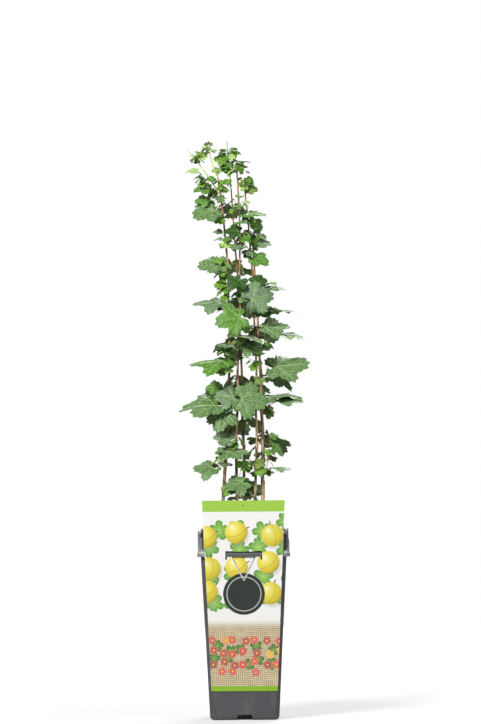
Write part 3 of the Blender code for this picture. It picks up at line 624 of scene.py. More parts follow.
def leaf_tree(leaf, extra, with_stalk=True):
    """A search tree of the leaf, thickened by what it has to keep clear."""
    bm = bmesh.new()
    add_blade(bm, leaf, extra)
    if with_stalk:
        radius = stalk_radius(leaf)
        line = [leaf.root, leaf.bend, stalk_end(leaf)]
        tube(bm, line, [radius + extra, radius + extra, radius * 0.5 + extra], 3)
    return tree_of(bm)


# %% The rules that place leaves
# A follower's turn from the leading leaf in radians, for each rank and by chance, its distance out and
# its blade as shares of the leading leaf's, and its height in millimetres
FIRST_TURN, NEXT_TURN, TURN_PLAY = 0.5, 0.45, 0.3
FOLLOWER_OUTS, FOLLOWER_BLADES, FOLLOWER_LIFTS = (0.6, 1.0), (0.42, 0.68), (-9, 10)
LEAD_PLAY, LEAD_LOOSER = 0.05, 0.02
LOOSE_PLAY = 0.3


def chance(rng):
    """A vector of three chances, each from -1 to 1."""
    return Vector([rng.uniform(-1, 1) for axis in range(3)])


def leaf_frame(joint, heading, face):
    """The matrix that puts a blade at its joint, its midrib along heading and its upper side to face."""
    face = face.normalized()
    midrib = (heading - face * heading.dot(face)).normalized()
    across = face.cross(midrib)
    turned = Matrix((midrib, across, face)).transposed()
    return Matrix.Translation(joint) @ turned.to_4x4()


def shape_leaf(rng, root, joint, heading, face, blade, play):
    """One leaf on its stalk. Chance turns its tip and its upper side by up to the play."""
    heading = heading.normalized() + chance(rng) * play
    face = face.normalized() + chance(rng) * play
    bend = root.lerp(joint, 0.5) + UP * (0.1 * (joint - root).length)
    frame = leaf_frame(joint, heading, face)
    return Leaf(root, bend, joint, frame, blade, rng.uniform(*FOLDS), rng.uniform(*DROOPS))


def twig_points(sprig):
    """The sprig's short twig: it starts just clear of its limb and turns up a little."""
    centre, radius, along = limbs[sprig.limb].at(sprig.height)
    offset = sprig.leads[0].joint
    length = min(TWIG_MOST, TWIG_SHARE * offset.length)
    if sprig.height is None:
        foot = centre + along * TOUCH
        return [foot, foot + along * length * 0.5, foot + along.lerp(UP, 0.5) * length]
    way = (offset - along * offset.dot(along)).normalized()
    foot = centre + way * (radius + TOUCH)
    return [foot, foot + way * length * 0.5, foot + way * length + UP * length * 0.3]


def lead_leaf(rng, sprig, twig, centre, rank, attempt):
    """A leading leaf where the table has it, moved further each time that it isn't clear."""
    lead = sprig.leads[rank]
    drift = chance(rng) * attempt * DRIFT
    joint = centre + lead.joint + Vector((drift.x, 2 * drift.y, drift.z))
    root = twig[1].lerp(twig[2], 0.25 + 0.22 * rank)
    play = LEAD_PLAY + LEAD_LOOSER * attempt
    return shape_leaf(rng, root, joint, lead.heading, lead.face, lead.blade, play)


def follower(rng, sprig, twig, centre, rank, attempt):
    """A leaf that follows the leading ones: to either side of them in turn, nearer in and smaller."""
    first = sprig.leads[0]
    side = 1 if rank % 2 else -1
    turn = math.atan2(first.joint.y, first.joint.x)
    turn += side * (FIRST_TURN + NEXT_TURN * rank + rng.uniform(-TURN_PLAY, TURN_PLAY))
    way = Vector((math.cos(turn), math.sin(turn), 0))
    out = max(LEAST_OUT, first.joint.length * rng.uniform(*FOLLOWER_OUTS)) + attempt * DRIFT
    joint = centre + way * out + UP * rng.uniform(*FOLLOWER_LIFTS) * MM
    blade = max(LEAST_BLADE, first.blade * rng.uniform(*FOLLOWER_BLADES))
    sky = UP + way * 0.6 + (FRONT * 0.6 if way.y < 0 else Vector())
    root = twig[1].lerp(twig[2], rng.uniform(-0.5, 0.9))
    return shape_leaf(rng, root, joint, way + UP * rng.uniform(-0.5, 0.3), sky, blade, LOOSE_PLAY)


# %% Grow them
class Thicket:
    """Every leaf that has found its place, and the search trees of all that a new leaf has to miss."""

    def __init__(self):
        self.taken = []
        self.twigs = {s.name: twig_points(s) for s in sprigs}
        self.leaves = {s.name: [] for s in sprigs}
        self.dice = {s.name: random.Random(s.seed) for s in sprigs}
        self.limb_trees = [tree_of(rod(l.points, [r + TOUCH for r in l.radii], 6)) for l in limbs.values()]
        for name, twig in self.twigs.items():
            self.taken.append((name, "twig", tree_of(rod(twig, [TWIG_RADIUS + BLADE_CLEAR] * 3, 4))))

    def try_leaf(self, sprig, rank, rule):
        """Moves one leaf on until it is clear of the rest. Says whether it found a place."""
        twig = self.twigs[sprig.name]
        centre = limbs[sprig.limb].at(sprig.height)[0]
        for attempt in range(TRIES):
            leaf = rule(self.dice[sprig.name], sprig, twig, centre, rank, attempt)
            tip = leaf.frame @ Vector((leaf.blade, 0, 0))
            whole = leaf_tree(leaf, BLADE_CLEAR)
            bare = leaf_tree(leaf, BLADE_CLEAR, with_stalk=False)
            blocked = (tip - twig[0]).length > SPACE or any(whole.overlap(tree) for tree in self.limb_trees)
            for owner, kind, tree in self.taken:
                own = owner == sprig.name
                if not blocked and (not own or kind == "blade"):
                    blocked = bool((bare if own else whole).overlap(tree))
            if not blocked:
                self.leaves[sprig.name].append(leaf)
                self.taken.append((sprig.name, "whole", whole))
                self.taken.append((sprig.name, "blade", bare))
                return True
        return False


thicket = Thicket()
for rank in range(max(len(s.leads) + s.more for s in sprigs)):
    for sprig in sprigs:
        if rank < len(sprig.leads) + sprig.more:
            thicket.try_leaf(sprig, rank, lead_leaf if rank < len(sprig.leads) else follower)
print(sum(len(found) for found in thicket.leaves.values()), "leaves stand where the solids have them")

# %% [markdown]
# ## Young leaves at the nodes
# A gooseberry leafs out in tufts: beside each full leaf there are small young ones that have only just
# unfolded, and the tips of the bush are crowded with them. The solids leave them out. The same trial adds
# some to each sprig, close in, and so within the reach that the sprig already has.

# %% Young leaves
YOUNG_COUNT, TOP_COUNT = 4, 9
TOP_START = 640 * MM
YOUNG_BLADES = (5.0 * MM, 11.0 * MM)
YOUNG_OUT = (4.0 * MM, 10.5 * MM)
YOUNG_TURN, YOUNG_LIFTS, YOUNG_MOST = 1.9, (-6, 8), 0.7


def young_leaf(rng, sprig, twig, centre, rank, attempt):
    """A small leaf close to the sprig's foot, turned any way, its upper side outwards."""
    first = sprig.leads[0]
    turn = math.atan2(first.joint.y, first.joint.x) + rng.uniform(-YOUNG_TURN, YOUNG_TURN)
    way = Vector((math.cos(turn), math.sin(turn), 0))
    joint = twig[1] + way * rng.uniform(*YOUNG_OUT) + UP * rng.uniform(*YOUNG_LIFTS) * MM
    blade = min(rng.uniform(*YOUNG_BLADES), YOUNG_MOST * first.blade)
    root = twig[1].lerp(twig[2], rng.uniform(-0.4, 0.8))
    return shape_leaf(rng, root, joint, way + UP * rng.uniform(-0.4, 0.8), UP + way, blade, LOOSE_PLAY)


young_from = {name: len(found) for name, found in thicket.leaves.items()}
for rank in range(TOP_COUNT):
    for sprig in sprigs:
        if rank < YOUNG_COUNT or thicket.twigs[sprig.name][0].z > TOP_START:
            thicket.try_leaf(sprig, rank, young_leaf)
print(sum(len(found) for found in thicket.leaves.values()), "leaves with the young ones")

# %% [markdown]
# ## Leaf finishes
# The leaves of one bush aren't one green. Full leaves are a greyed sage that shines pale where the light
# grazes them, and the newest are yellow-green. A deep green kind is painted shade, for leaves that stand in
# shadow inside the bush. Each kind is a plain base colour with only a fine mottling on it, and the kinds are
# dealt out sprig by sprig. The underside is its own paler finish, as in most leaves.

# %% Leaf finishes
def seen(red, green, blue):
    """A colour as a picture editor gives it, from 0 to 255, in the shader's linear numbers."""
    return tuple(((part / 255 + 0.055) / 1.055) ** 2.4 for part in (red, green, blue))


def shade_of(colour, factor):
    """The same colour, darker or lighter."""
    return tuple(part * factor for part in colour)


GREENS = {
    "sage": seen(80, 108, 62),
    "silver": seen(84, 108, 76),
    "green": seen(68, 108, 30),
    "fresh": seen(84, 124, 28),
    # The dark kind is painted shade: a deeper copy of the greens for leaves in shadow
    "dark": seen(34, 66, 16),
    "pale": seen(136, 166, 84),
    "olive": seen(92, 108, 38),
}
UNDER_GREY = seen(134, 160, 116)
UNDER_SHARE = 0.55


def leaf_tissue(name, colour, rough):
    """Leaf tissue: patches of a few millimetres, a fine grain, and a soft wax sheen."""
    made, place = finish(name, Sheen_Weight=0.06, Sheen_Roughness=0.4, Specular_IOR_Level=0.28)
    patches = place.noise(260, 5, 0.7)
    grain = place.noise(1300, 2)
    colours = patches.step(0.36, 0.64).blend(shade_of(colour, 0.68), shade_of(colour, 1.28))
    colours = grain.step(0.62, 0.8).blend(colours, shade_of(colour, 1.35))
    return surface(made, colours, patches * 0.18 + rough, (grain * 0.6 + patches * 0.4).bump(0.25 * MM))


leaf_tops, leaf_unders = {}, {}
for kind, green in GREENS.items():
    leaf_tops[kind] = leaf_tissue(f"leaf_{kind}", green, 0.4)
    paler = tuple(a + (b - a) * UNDER_SHARE for a, b in zip(green, UNDER_GREY))
    leaf_unders[kind] = leaf_tissue(f"leaf_{kind}_under", paler, 0.62)
print(len(GREENS), "greens, each with its underside")

# %% [markdown]
# ## Which sprig has which green
# Words in the order of a sprig's leading leaves, and its followers take any of them. The word dark gives a
# leaf painted shade. The young leaves have a list of their own, with more fresh green in it and some painted
# shade. The back of the bush has the same mixture.

# %% Greens by sprig
SPRIG_GREENS = {
    "left": (
        "sage sage", "sage", "green pale pale", "silver fresh", "silver fresh", "fresh fresh green",
        "sage fresh", "pale green sage", "sage green fresh", "green sage", "fresh pale green", "green",
    ),
    "front": (
        "sage fresh", "sage silver sage", "sage silver", "sage", "green fresh", "silver dark sage",
        "dark silver green", "green fresh", "dark fresh green green",
    ),
    "middle": ("olive green", "olive fresh", "dark sage", "silver green", "green", "olive dark", "green"),
    "right": (
        "sage fresh green", "sage sage", "sage", "green sage silver", "silver green dark", "silver fresh",
        "green silver", "green fresh", "sage",
    ),
    "back": (
        "fresh pale green", "fresh dark pale", "green sage", "sage green", "green sage", "dark sage",
        "sage green", "green fresh", "sage green",
    ),
    "long": ("pale fresh", "pale"),
    "pale": ("pale",),
}
# Dark here is painted shade too, for young leaves deep in the tufts
YOUNG_GREENS = ("fresh", "green", "fresh", "pale", "green", "dark")


def greens_of(sprig):
    """The words of one sprig's greens."""
    limb, number = sprig.name.removeprefix("leaves_").rsplit("_", 1)
    return SPRIG_GREENS[limb][int(number) - 1].split()


# %% [markdown]
# ## A fine leaf
# A gooseberry leaf has five lobes with blunt teeth, one main vein for each lobe and side veins like a
# herring's bones. A flat grid can become all that: its width turns into the angle round the stalk, and
# its depth into the way out to the margin, so the outline is one formula of the angle. The tissue is
# puffed up between the side veins, each lobe tips up or down by itself, the margin waves, and Solidify
# gives the leaf a thickness and a separate underside.

# %% The outline and the height of a fine leaf
TOOTH_DEEP, MARGIN_BLUNT = 0.11, 0.28
FAN = 160.0
PUFF, RUFFLE, CURL, LOBE_TILT = 0.017, 0.045, 0.06, 0.1
SIDE_VEINS, SIDE_SLOPE = 6.0, 0.9
FINE_THICK = 0.28 * MM
# The least blade of a grade, its columns and its rings
GRADES = ((24 * MM, 120, 13), (12 * MM, 84, 8), (0.0, 52, 4))


def lobe_of(angle):
    """The nearest lobe's vein, on the angle's own side, and how far off it the angle is, from 0 to 1."""
    off, middle = min((abs(abs(angle) - lobe[0]) / lobe[2], lobe[0]) for lobe in LOBES)
    return math.copysign(middle, angle), min(1.0, off)


def margin(angle):
    """The edge of a fine blade of length 1: the plain outline cut into blunt teeth."""
    return blade_edge(angle, MARGIN_BLUNT, TOOTH_DEEP)


def leaf_point(leaf, angle, out, wave):
    """A point of the fine blade in its own frame, its distance from the stalk in blade lengths."""
    share = out / margin(angle)
    middle, off = lobe_of(angle)
    turned = math.radians(angle - middle)
    along, across = out * math.cos(turned), abs(out * math.sin(turned))
    ribs = abs(math.sin(math.pi * SIDE_VEINS * (along - SIDE_SLOPE * across)))
    rise = blade_rise(angle, out, leaf.fold, leaf.droop)
    rise += PUFF * ribs * min(1.0, across / 0.08) * (1 - share**4)
    rise += RUFFLE * share**3 * math.sin(math.radians(angle) * 3.5 + wave)
    rise -= CURL * share**6 * abs(math.sin(wave))
    rise += LOBE_TILT * (1 - off) * share**2 * math.sin(2 * wave + math.radians(middle) * 2.3)
    flat = Vector((math.cos(math.radians(angle)), math.sin(math.radians(angle)), 0)) * out
    return (flat + UP * rise) * leaf.blade


def fine_leaf(leaf, wave):
    """One leaf as its own small bmesh."""
    columns, rings = next(grade[1:] for grade in GRADES if leaf.blade >= grade[0])
    bm = bmesh.new()
    bmesh.ops.create_grid(bm, x_segments=columns, y_segments=rings, size=1.0)
    pole = [v for v in bm.verts if v.co.y < -1 + 1 / rings]
    for vert in bm.verts:
        angle = FAN * vert.co.x
        vert.co = leaf_point(leaf, angle, margin(angle) * (vert.co.y + 1) / 2, wave)
    bmesh.ops.remove_doubles(bm, verts=pole, dist=0.001 * MM)
    bmesh.ops.recalc_face_normals(bm, faces=bm.faces)
    if sum(face.normal.z for face in bm.faces) < 0:
        bmesh.ops.reverse_faces(bm, faces=bm.faces)
    tops = list(bm.faces)
    bmesh.ops.solidify(bm, geom=tops, thickness=FINE_THICK)
    for face in bm.faces:
        face.material_index = int(face.normal.z < -0.2)
    bmesh.ops.transform(bm, matrix=leaf.frame, verts=bm.verts)
    return bm


# %% [markdown]
# ## Veins and stalks
# Veins catch the light because they stand out of the leaf, so they are thin tubes laid on the blade and
# partly sunk in it. Each main vein runs from the stalk to the tip of its lobe, and its side veins leave it
# to both sides where the tissue dips between two puffs. The stalk bends up out of its twig and flows into
# the midrib.

# %% Veins and stalks
VEIN_THICK = (0.012, 0.004)
SIDE_VEIN_THICK = (0.006, 0.0035)
VEIN_STEPS, YOUNG_VEIN_STEPS = 9, 6
VEIN_LIFT = 0.22 * MM
VEIN_START = 0.02
SIDE_STEP = 0.05
VEINED_BLADE = 11 * MM
STALK_END = 0.75


def vein_tube(bm, leaf, points, thick, sides):
    points = [leaf.frame @ (point + UP * VEIN_LIFT) for point in points]
    tube(bm, points, [leaf.blade * share for share in even(*thick, len(points))], sides)


def side_vein(leaf, middle, start, side, wave):
    """The points of one side vein, from its main vein until it nears the margin."""
    points = []
    for step in range(20):
        across = step * SIDE_STEP
        along = start + SIDE_SLOPE * across
        angle = middle + side * math.degrees(math.atan2(across, along))
        out = math.hypot(across, along)
        own, off = lobe_of(angle)
        if out > 0.95 * margin(angle) or (own != math.copysign(middle, angle) and off < 0.85):
            break
        points.append(leaf_point(leaf, angle, out, wave))
    return points


def fine_veins(leaf, wave):
    """The main veins, and on a larger leaf the side veins too."""
    bm = bmesh.new()
    steps = VEIN_STEPS if leaf.blade > VEINED_BLADE else YOUNG_VEIN_STEPS
    for lobe, length, half in LOBES:
        for side in (1, -1) if lobe else (1,):
            middle = lobe * side
            reach = 0.96 * margin(middle)
            main = [leaf_point(leaf, middle, out, wave) for out in even(VEIN_START, reach, steps)]
            vein_tube(bm, leaf, main, VEIN_THICK, 5 if steps == VEIN_STEPS else 4)
            starts = [k / SIDE_VEINS for k in range(2, 6) if k / SIDE_VEINS < 0.85 * reach]
            for start in starts if leaf.blade > VEINED_BLADE else ():
                for turn in (1, -1):
                    points = side_vein(leaf, middle, start, turn, wave)
                    if len(points) > 1:
                        vein_tube(bm, leaf, points, SIDE_VEIN_THICK, 4)
    return bm


def fine_stalk(leaf):
    """The stalk, which thins towards the blade."""
    radius = stalk_radius(leaf)
    line = smooth_line([leaf.root, leaf.bend, leaf.joint, stalk_end(leaf)], 4)
    return rod(line, even(radius, radius * STALK_END, len(line)), 6)


# %% [markdown]
# ## Pour out the foliage
# Every leaf goes into the joined piece of its green, and its veins and stalk into pieces of their own. A
# joined piece that has grown large enough is closed, and the next one begins, so that no mesh gets too
# heavy to edit.

# %% Foliage
MOST_FACES = 80000
WAVES = random.Random(7)
kind_counts = {}


def joined_name(kind):
    """The joined piece of a kind that still has room."""
    number = kind_counts.setdefault(kind, 1)
    name = f"{kind}_{number}"
    if name in joined and len(joined[name].faces) > MOST_FACES:
        kind_counts[kind] = number + 1
        name = f"{kind}_{number + 1}"
    return name


for sprig in sprigs:
    greens = greens_of(sprig)
    for rank, leaf in enumerate(thicket.leaves[sprig.name]):
        choice = WAVES.random()
        if rank >= young_from[sprig.name]:
            green = YOUNG_GREENS[int(choice * len(YOUNG_GREENS))]
        elif rank < len(sprig.leads):
            green = greens[min(rank, len(greens) - 1)]
        else:
            green = greens[int(choice * len(greens))]
        wave = WAVES.uniform(0, math.tau)
        pour(fine_leaf(leaf, wave), joined_name(f"{green}_leaves"))
        # Leaves in painted shade get the darker veins, which are painted shade as well
        pour(fine_veins(leaf, wave), joined_name("dark_veins" if green == "dark" else "pale_veins"))
        pour(fine_stalk(leaf), joined_name("leaf_stalks"))
print({name: len(bm.faces) for name, bm in joined.items()})

# %% [markdown]
# ## Twigs, buds and spines
# Every sprig sits on a short spur with a blunt bud at its tip. Under each spur stand the spines that a
# gooseberry is known for, one to three of them, thin and straight, a little tilted down. A spine is left
# out where it would go through a leaf.

# %% Twigs, buds and spines
TWIG_ENDS = (1.12 * TWIG_RADIUS, 0.82 * TWIG_RADIUS)
# A bud's radius at each distance out, in millimetres
BUD = ((0.0, 0.7), (0.6, 1.0), (1.4, 1.05), (2.4, 0.65), (3.2, 0.12))
SPINE_LENGTHS = (6 * MM, 11 * MM)
SPINE_RADII = (0.5 * MM, 0.26 * MM, 0.05 * MM)
SPINE_TURNS = (0, 62, -58)
SPINE_DOWN, SPINE_SUNK = 0.25, 1.6 * MM
DICE = random.Random(31)


def clear_of_leaves(start, way, length):
    blades = [tree for owner, kind, tree in thicket.taken if kind == "blade"]
    return all(tree.ray_cast(start, way, length)[0] is None for tree in blades)


spine_count = 0
for sprig in sprigs:
    twig = thicket.twigs[sprig.name]
    spur = smooth_line(twig, 4)
    pour(rod(spur, even(*TWIG_ENDS, len(spur)), 8), "spur_twigs")
    ahead = (twig[2] - twig[1]).normalized()
    pour(rod([twig[2] + ahead * out * MM for out, wide in BUD], [wide * MM for out, wide in BUD], 8), "buds")
    centre, radius, along = limbs[sprig.limb].at(sprig.height)
    if sprig.height is None or sprig.limb in SHOOTS:
        continue
    out = (twig[1] - twig[0]).normalized()
    for turn in SPINE_TURNS[: DICE.randint(1, 3)]:
        way = Matrix.Rotation(math.radians(turn), 3, along) @ out - along * SPINE_DOWN
        way.normalize()
        start = centre - along * SPINE_SUNK
        length = radius + DICE.uniform(*SPINE_LENGTHS)
        if clear_of_leaves(start, way, length):
            pour(rod([start, start + way * length * 0.35, start + way * length], SPINE_RADII, 6), "spines")
            spine_count += 1
print(len(sprigs), "spurs and", spine_count, "spines")

# %% [markdown]
# ## Bark
# The lower stems are two years old: dark, ridged along their length and peeling in thin strips. Higher up
# the bark is a smooth red-brown, and the newest shoots are still green. The relief has to be in the mesh,
# so each stem is swept again with many short steps, swells at its nodes, and is pushed in and out by a
# noise that is stretched along the stem.

# %% Stems
BARK_STEPS = 15
BARK_SIDES = 16
RIDGE, GRIT = 0.13, 0.05
NODE_SWELL, NODE_REACH = 0.5, 2.4 * MM


def along_limb(limb, steps):
    """The limb's smooth centre line and its radius at each point, thicker where a sprig leaves it."""
    line = smooth_line(limb.points, steps)
    nodes_up = [s.height for s in sprigs if s.limb == limb.name and s.height is not None]
    radii = []
    for index, point in enumerate(line):
        low = min(index // steps, len(limb.radii) - 2)
        radius = limb.radii[low] + (limb.radii[low + 1] - limb.radii[low]) * (index / steps - low)
        swell = sum(math.exp(-(((point.z - height) / NODE_REACH) ** 2)) for height in nodes_up)
        radii.append(radius * (1 + NODE_SWELL * min(1.0, swell)))
    return line, radii


def bark_mesh(limb):
    """The limb's bark: a tube with its ridges and grit in the mesh."""
    line, radii = along_limb(limb, BARK_STEPS)
    bm = rod(line, radii, BARK_SIDES)
    tree = KDTree(len(line))
    for index, point in enumerate(line):
        tree.insert(point, index)
    tree.balance()
    for vert in bm.verts:
        centre, index, distance = tree.find(vert.co)
        out = vert.co - centre
        side = out.normalized()
        ridges = noise.noise(Vector((side.x * 2.6, side.y * 2.6, vert.co.z * 34)))
        grit = noise.noise(Vector((side.x * 5, side.y * 5, vert.co.z * 420)))
        vert.co = centre + out * (1 + RIDGE * ridges + GRIT * grit)
    return bm


OLD_BARK = (seen(58, 42, 30), seen(178, 150, 110))
YOUNG_BARK = (seen(104, 72, 42), seen(166, 126, 80))
bark, at = finish("bark", Specular_IOR_Level=0.35)
height = at.axes()[2]
fibres = at.noise(520, 4, 0.6, (1.0, 1.0, 0.12))
blotches = at.noise(60, 3, 0.6, (1.0, 1.0, 0.5))
old = (fibres * 0.45 + blotches * 0.55).step(0.42, 0.58).blend(*OLD_BARK)
young = fibres.step(0.3, 0.7).blend(*YOUNG_BARK)
tip = (height + blotches * 0.02).step(0.648, 0.684).blend(young, seen(134, 160, 62))
by_age = (height + blotches * 0.08).step(0.44, 0.6).blend(old, tip)
surface(bark, by_age, fibres * 0.25 + 0.5, (fibres + blotches * 0.5).bump(0.4 * MM))

shoot_skin, at = finish("shoot_skin", Specular_IOR_Level=0.45)
streaks = at.noise(300, 3, 0.5, (1.0, 1.0, 0.2))
light_green = streaks.step(0.3, 0.7).blend(seen(140, 176, 52), seen(178, 204, 84))
surface(shoot_skin, light_green, streaks * 0.15 + 0.38, streaks.bump(0.15 * MM))

for name, limb in limbs.items():
    slot, skin = ("green_shoot", shoot_skin) if name in SHOOTS else ("bark", bark)
    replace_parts(make_piece(bark_mesh(limb), f"{name}_bark", slot, skin), name)
print(len(limbs), "limbs in bark")

# %% [markdown]
# ## Peeling bark
# On the old wood thin strips of bark come loose at their ends. Each strip is a narrow grid laid on the
# stem, lifted more and more towards one end, and given a thickness.

# %% Peeling strips
PEEL_COUNT = 9
PEEL_RANGE = (0.212, 0.47)
PEEL_LENGTHS = (8 * MM, 22 * MM)
PEEL_LIFT = 1.3 * MM
PEEL_THICK = 0.14 * MM
# Half its width as an angle round the stem
PEEL_HALF = 0.4


def peel(limb, height, turn, length, wide):
    """One strip: its grid runs up the stem in y and round it in x."""
    bm = bmesh.new()
    bmesh.ops.create_grid(bm, x_segments=3, y_segments=10, size=1.0)
    for vert in bm.verts:
        share = (vert.co.y + 1) / 2
        centre, radius, along = limb.at(height + share * length)
        angle = turn + vert.co.x * wide * (1 - 0.7 * share**3)
        out = radius * 1.12 + PEEL_LIFT * share**4 + 0.12 * MM
        vert.co = centre + Vector((math.cos(angle), math.sin(angle), 0)) * out
    bmesh.ops.solidify(bm, geom=list(bm.faces), thickness=PEEL_THICK)
    bmesh.ops.recalc_face_normals(bm, faces=bm.faces)
    return bm


for name in STEMS:
    for strip in range(PEEL_COUNT):
        height, turn = DICE.uniform(*PEEL_RANGE), DICE.uniform(0, math.tau)
        pour(peel(limbs[name], height, turn, DICE.uniform(*PEEL_LENGTHS), PEEL_HALF), "bark_peel")
print(PEEL_COUNT * len(STEMS), "strips of bark")

# %% [markdown]
# ## Close the joined pieces
# The small finishes come here: veins, stalks, spurs, buds and spines. Every joined piece that holds leaves
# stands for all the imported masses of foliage, because the masses' leaves are spread over several kinds.

# %% Joined pieces
def plain_finish(name, colour, rough, scale, depth, **constants):
    """A finish of one colour with a soft mottle and a little relief."""
    made, place = finish(name, **constants)
    mottle = place.noise(scale, 3, 0.55)
    colours = mottle.step(0.3, 0.7).blend(shade_of(colour, 0.8), shade_of(colour, 1.2))
    return surface(made, colours, mottle * 0.2 + rough, mottle.bump(depth))


SMALL_FINISHES = {
    "pale_veins": ("foliage", plain_finish("vein_pale", seen(136, 166, 112), 0.45, 500, 0.05 * MM)),
    # The darker veins are painted shade, for the dark leaves
    "dark_veins": ("foliage", plain_finish("vein_dark", seen(84, 120, 62), 0.45, 500, 0.05 * MM)),
    "leaf_stalks": ("foliage", plain_finish("stalk_green", seen(112, 130, 70), 0.45, 300, 0.1 * MM)),
    "spur_twigs": ("bark", plain_finish("spur_bark", seen(112, 84, 58), 0.6, 700, 0.25 * MM)),
    "buds": ("bark", plain_finish("bud_scales", seen(132, 104, 68), 0.5, 600, 0.25 * MM)),
    "spines": ("bark", plain_finish("spine_tan", seen(176, 140, 104), 0.42, 500, 0.05 * MM)),
    "bark_peel": ("bark", plain_finish("peeling_bark", seen(170, 138, 104), 0.7, 420, 0.2 * MM)),
}
for name in sorted(joined):
    kind = name.rsplit("_", 1)[0]
    if kind.endswith("_leaves"):
        green = kind.removesuffix("_leaves")
        skins = leaf_tops[green], leaf_unders[green]
        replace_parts(make_piece(joined[name], name, "foliage", *skins, sharp=math.radians(60)), *MASSES)
    else:
        slot, skin = SMALL_FINISHES[name if name in SMALL_FINISHES else kind]
        make_piece(joined[name], name, slot, skin)
print(len(joined), "joined pieces")

# %% [markdown]
# ## The pot
# The pot is moulded from recycled plastic, so no edge of it is quite sharp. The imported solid's edges are,
# so a copy of it is merged, its coplanar triangles are dissolved, and every sharp edge gets a small bevel,
# which is what catches light.

# %% The pot's edges
POT_MERGE = 0.15 * MM
POT_EDGE = 0.3 * MM


def soften(bm, edges, offset, segments, **more):
    """Rounds the edges with a bevel."""
    shape = {"offset_type": "OFFSET", "profile": 0.5, "affect": "EDGES", "material": -1, **more}
    bmesh.ops.bevel(bm, geom=edges, offset=offset, segments=segments, **shape)


pot_bm = bmesh.new()
pot_bm.from_mesh(nodes["pot"].data)
bmesh.ops.remove_doubles(pot_bm, verts=pot_bm.verts, dist=POT_MERGE)
bmesh.ops.dissolve_limit(pot_bm, angle_limit=math.radians(1.5), verts=pot_bm.verts, edges=pot_bm.edges)
corners = [e for e in pot_bm.edges if len(e.link_faces) == 2 and e.calc_face_angle() > math.radians(28)]
soften(pot_bm, corners, POT_EDGE, 2, clamp_overlap=True)
print(len(corners), "edges rounded")

# %% [markdown]
# A thin rib is moulded round the drain notch in front, with an oval above it. A ray finds the wall at each
# of their points, and a tube half sunk in the wall joins them.

# %% Rib and oval
RIB_RADIUS = 0.42 * MM
RIB_CORNERS = ((-8.6, 0.5), (-6.4, 8.4), (13.6, 8.4), (15.8, 0.5))
OVAL_MIDDLE, OVAL_HALF = (2.5, 14.7), (5.3, 2.3)
OVAL_SIDES = 28
wall = BVHTree.FromBMesh(pot_bm)


def on_front(x, z):
    """The point of the front wall at x and z in millimetres."""
    return wall.ray_cast(Vector((x * MM, -0.2, z * MM)), -FRONT)[0]


(middle_x, middle_z), (half_x, half_z) = OVAL_MIDDLE, OVAL_HALF
turns = even(0.0, math.tau, OVAL_SIDES + 1)
oval = [(middle_x + half_x * math.cos(t), middle_z + half_z * math.sin(t)) for t in turns]
for route in (RIB_CORNERS, oval):
    tube(pot_bm, [on_front(*spot) for spot in route], [RIB_RADIUS] * len(route), 8)
print("an oval", round(2 * half_x, 1), "mm wide")

# %% [markdown]
# The posts at the corners have windows, and the pot's inner wall shows behind them. It starts as a cube
# without its top and bottom, whose four uprights are rounded before the wall gets its thickness.

# %% The inner wall
LINER_LOW, LINER_HIGH = 203 * MM, 227.2 * MM
LINER_HALF, LINER_CORNER, LINER_THICK = 50.2 * MM, 5.4 * MM, 0.7 * MM

liner = bmesh.new()
bmesh.ops.create_cube(liner, size=1.0)
bmesh.ops.scale(liner, vec=(2 * LINER_HALF, 2 * LINER_HALF, LINER_HIGH - LINER_LOW), verts=liner.verts)
bmesh.ops.translate(liner, vec=(0, 0, (LINER_LOW + LINER_HIGH) / 2), verts=liner.verts)
bmesh.ops.delete(liner, geom=[f for f in liner.faces if abs(f.normal.z) > 0.5], context="FACES_ONLY")
uprights = [e for e in liner.edges if abs(e.verts[0].co.z - e.verts[1].co.z) > MM]
soften(liner, uprights, LINER_CORNER, 6)
bmesh.ops.solidify(liner, geom=list(liner.faces), thickness=LINER_THICK)
# The inner wall takes the second finish, whose darker grey is painted shade
for face in liner.faces:
    face.material_index = 1
merge(pot_bm, liner)
print(round(2 * LINER_HALF / MM, 1), "mm between the inner walls")

# %% [markdown]
# The plastic is a matt dark grey with a fine grain and dusty scuffs. The posts are painted a little paler,
# as painted light, and a pale line on the ledge's bevelled edge at the corners is a painted highlight. The
# inside is painted darker, as painted shade.

# %% The pot's finish
LEDGE_LOW, LEDGE_BEVEL, LEDGE_HIGH = 196.6 * MM, 201.2 * MM, 202.5 * MM
# A painted highlight along the ledge's bevelled edge at the corners, in this pale grey
LEDGE_HIGHLIGHT = seen(168, 166, 150)
pot_plastic, at = finish("pot_plastic", Specular_IOR_Level=0.4)
across, deep, height = at.axes()
grain = at.noise(1900, 2, 0.5)
scuffs = at.noise(38, 5, 0.65, (1.0, 1.0, 0.45))
dust = scuffs.step(0.5, 0.74) * 0.35
collar = height.step(LEDGE_LOW - 1 * MM, LEDGE_LOW + 1 * MM)
# The band of the painted highlight: the ledge's bevel, between these heights
ledge_highlight_band = height.step(LEDGE_BEVEL - 0.5 * MM, LEDGE_BEVEL) * height.step(LEDGE_HIGH + 0.8 * MM, LEDGE_HIGH)
body = dust.blend(seen(70, 71, 74), seen(108, 108, 108))
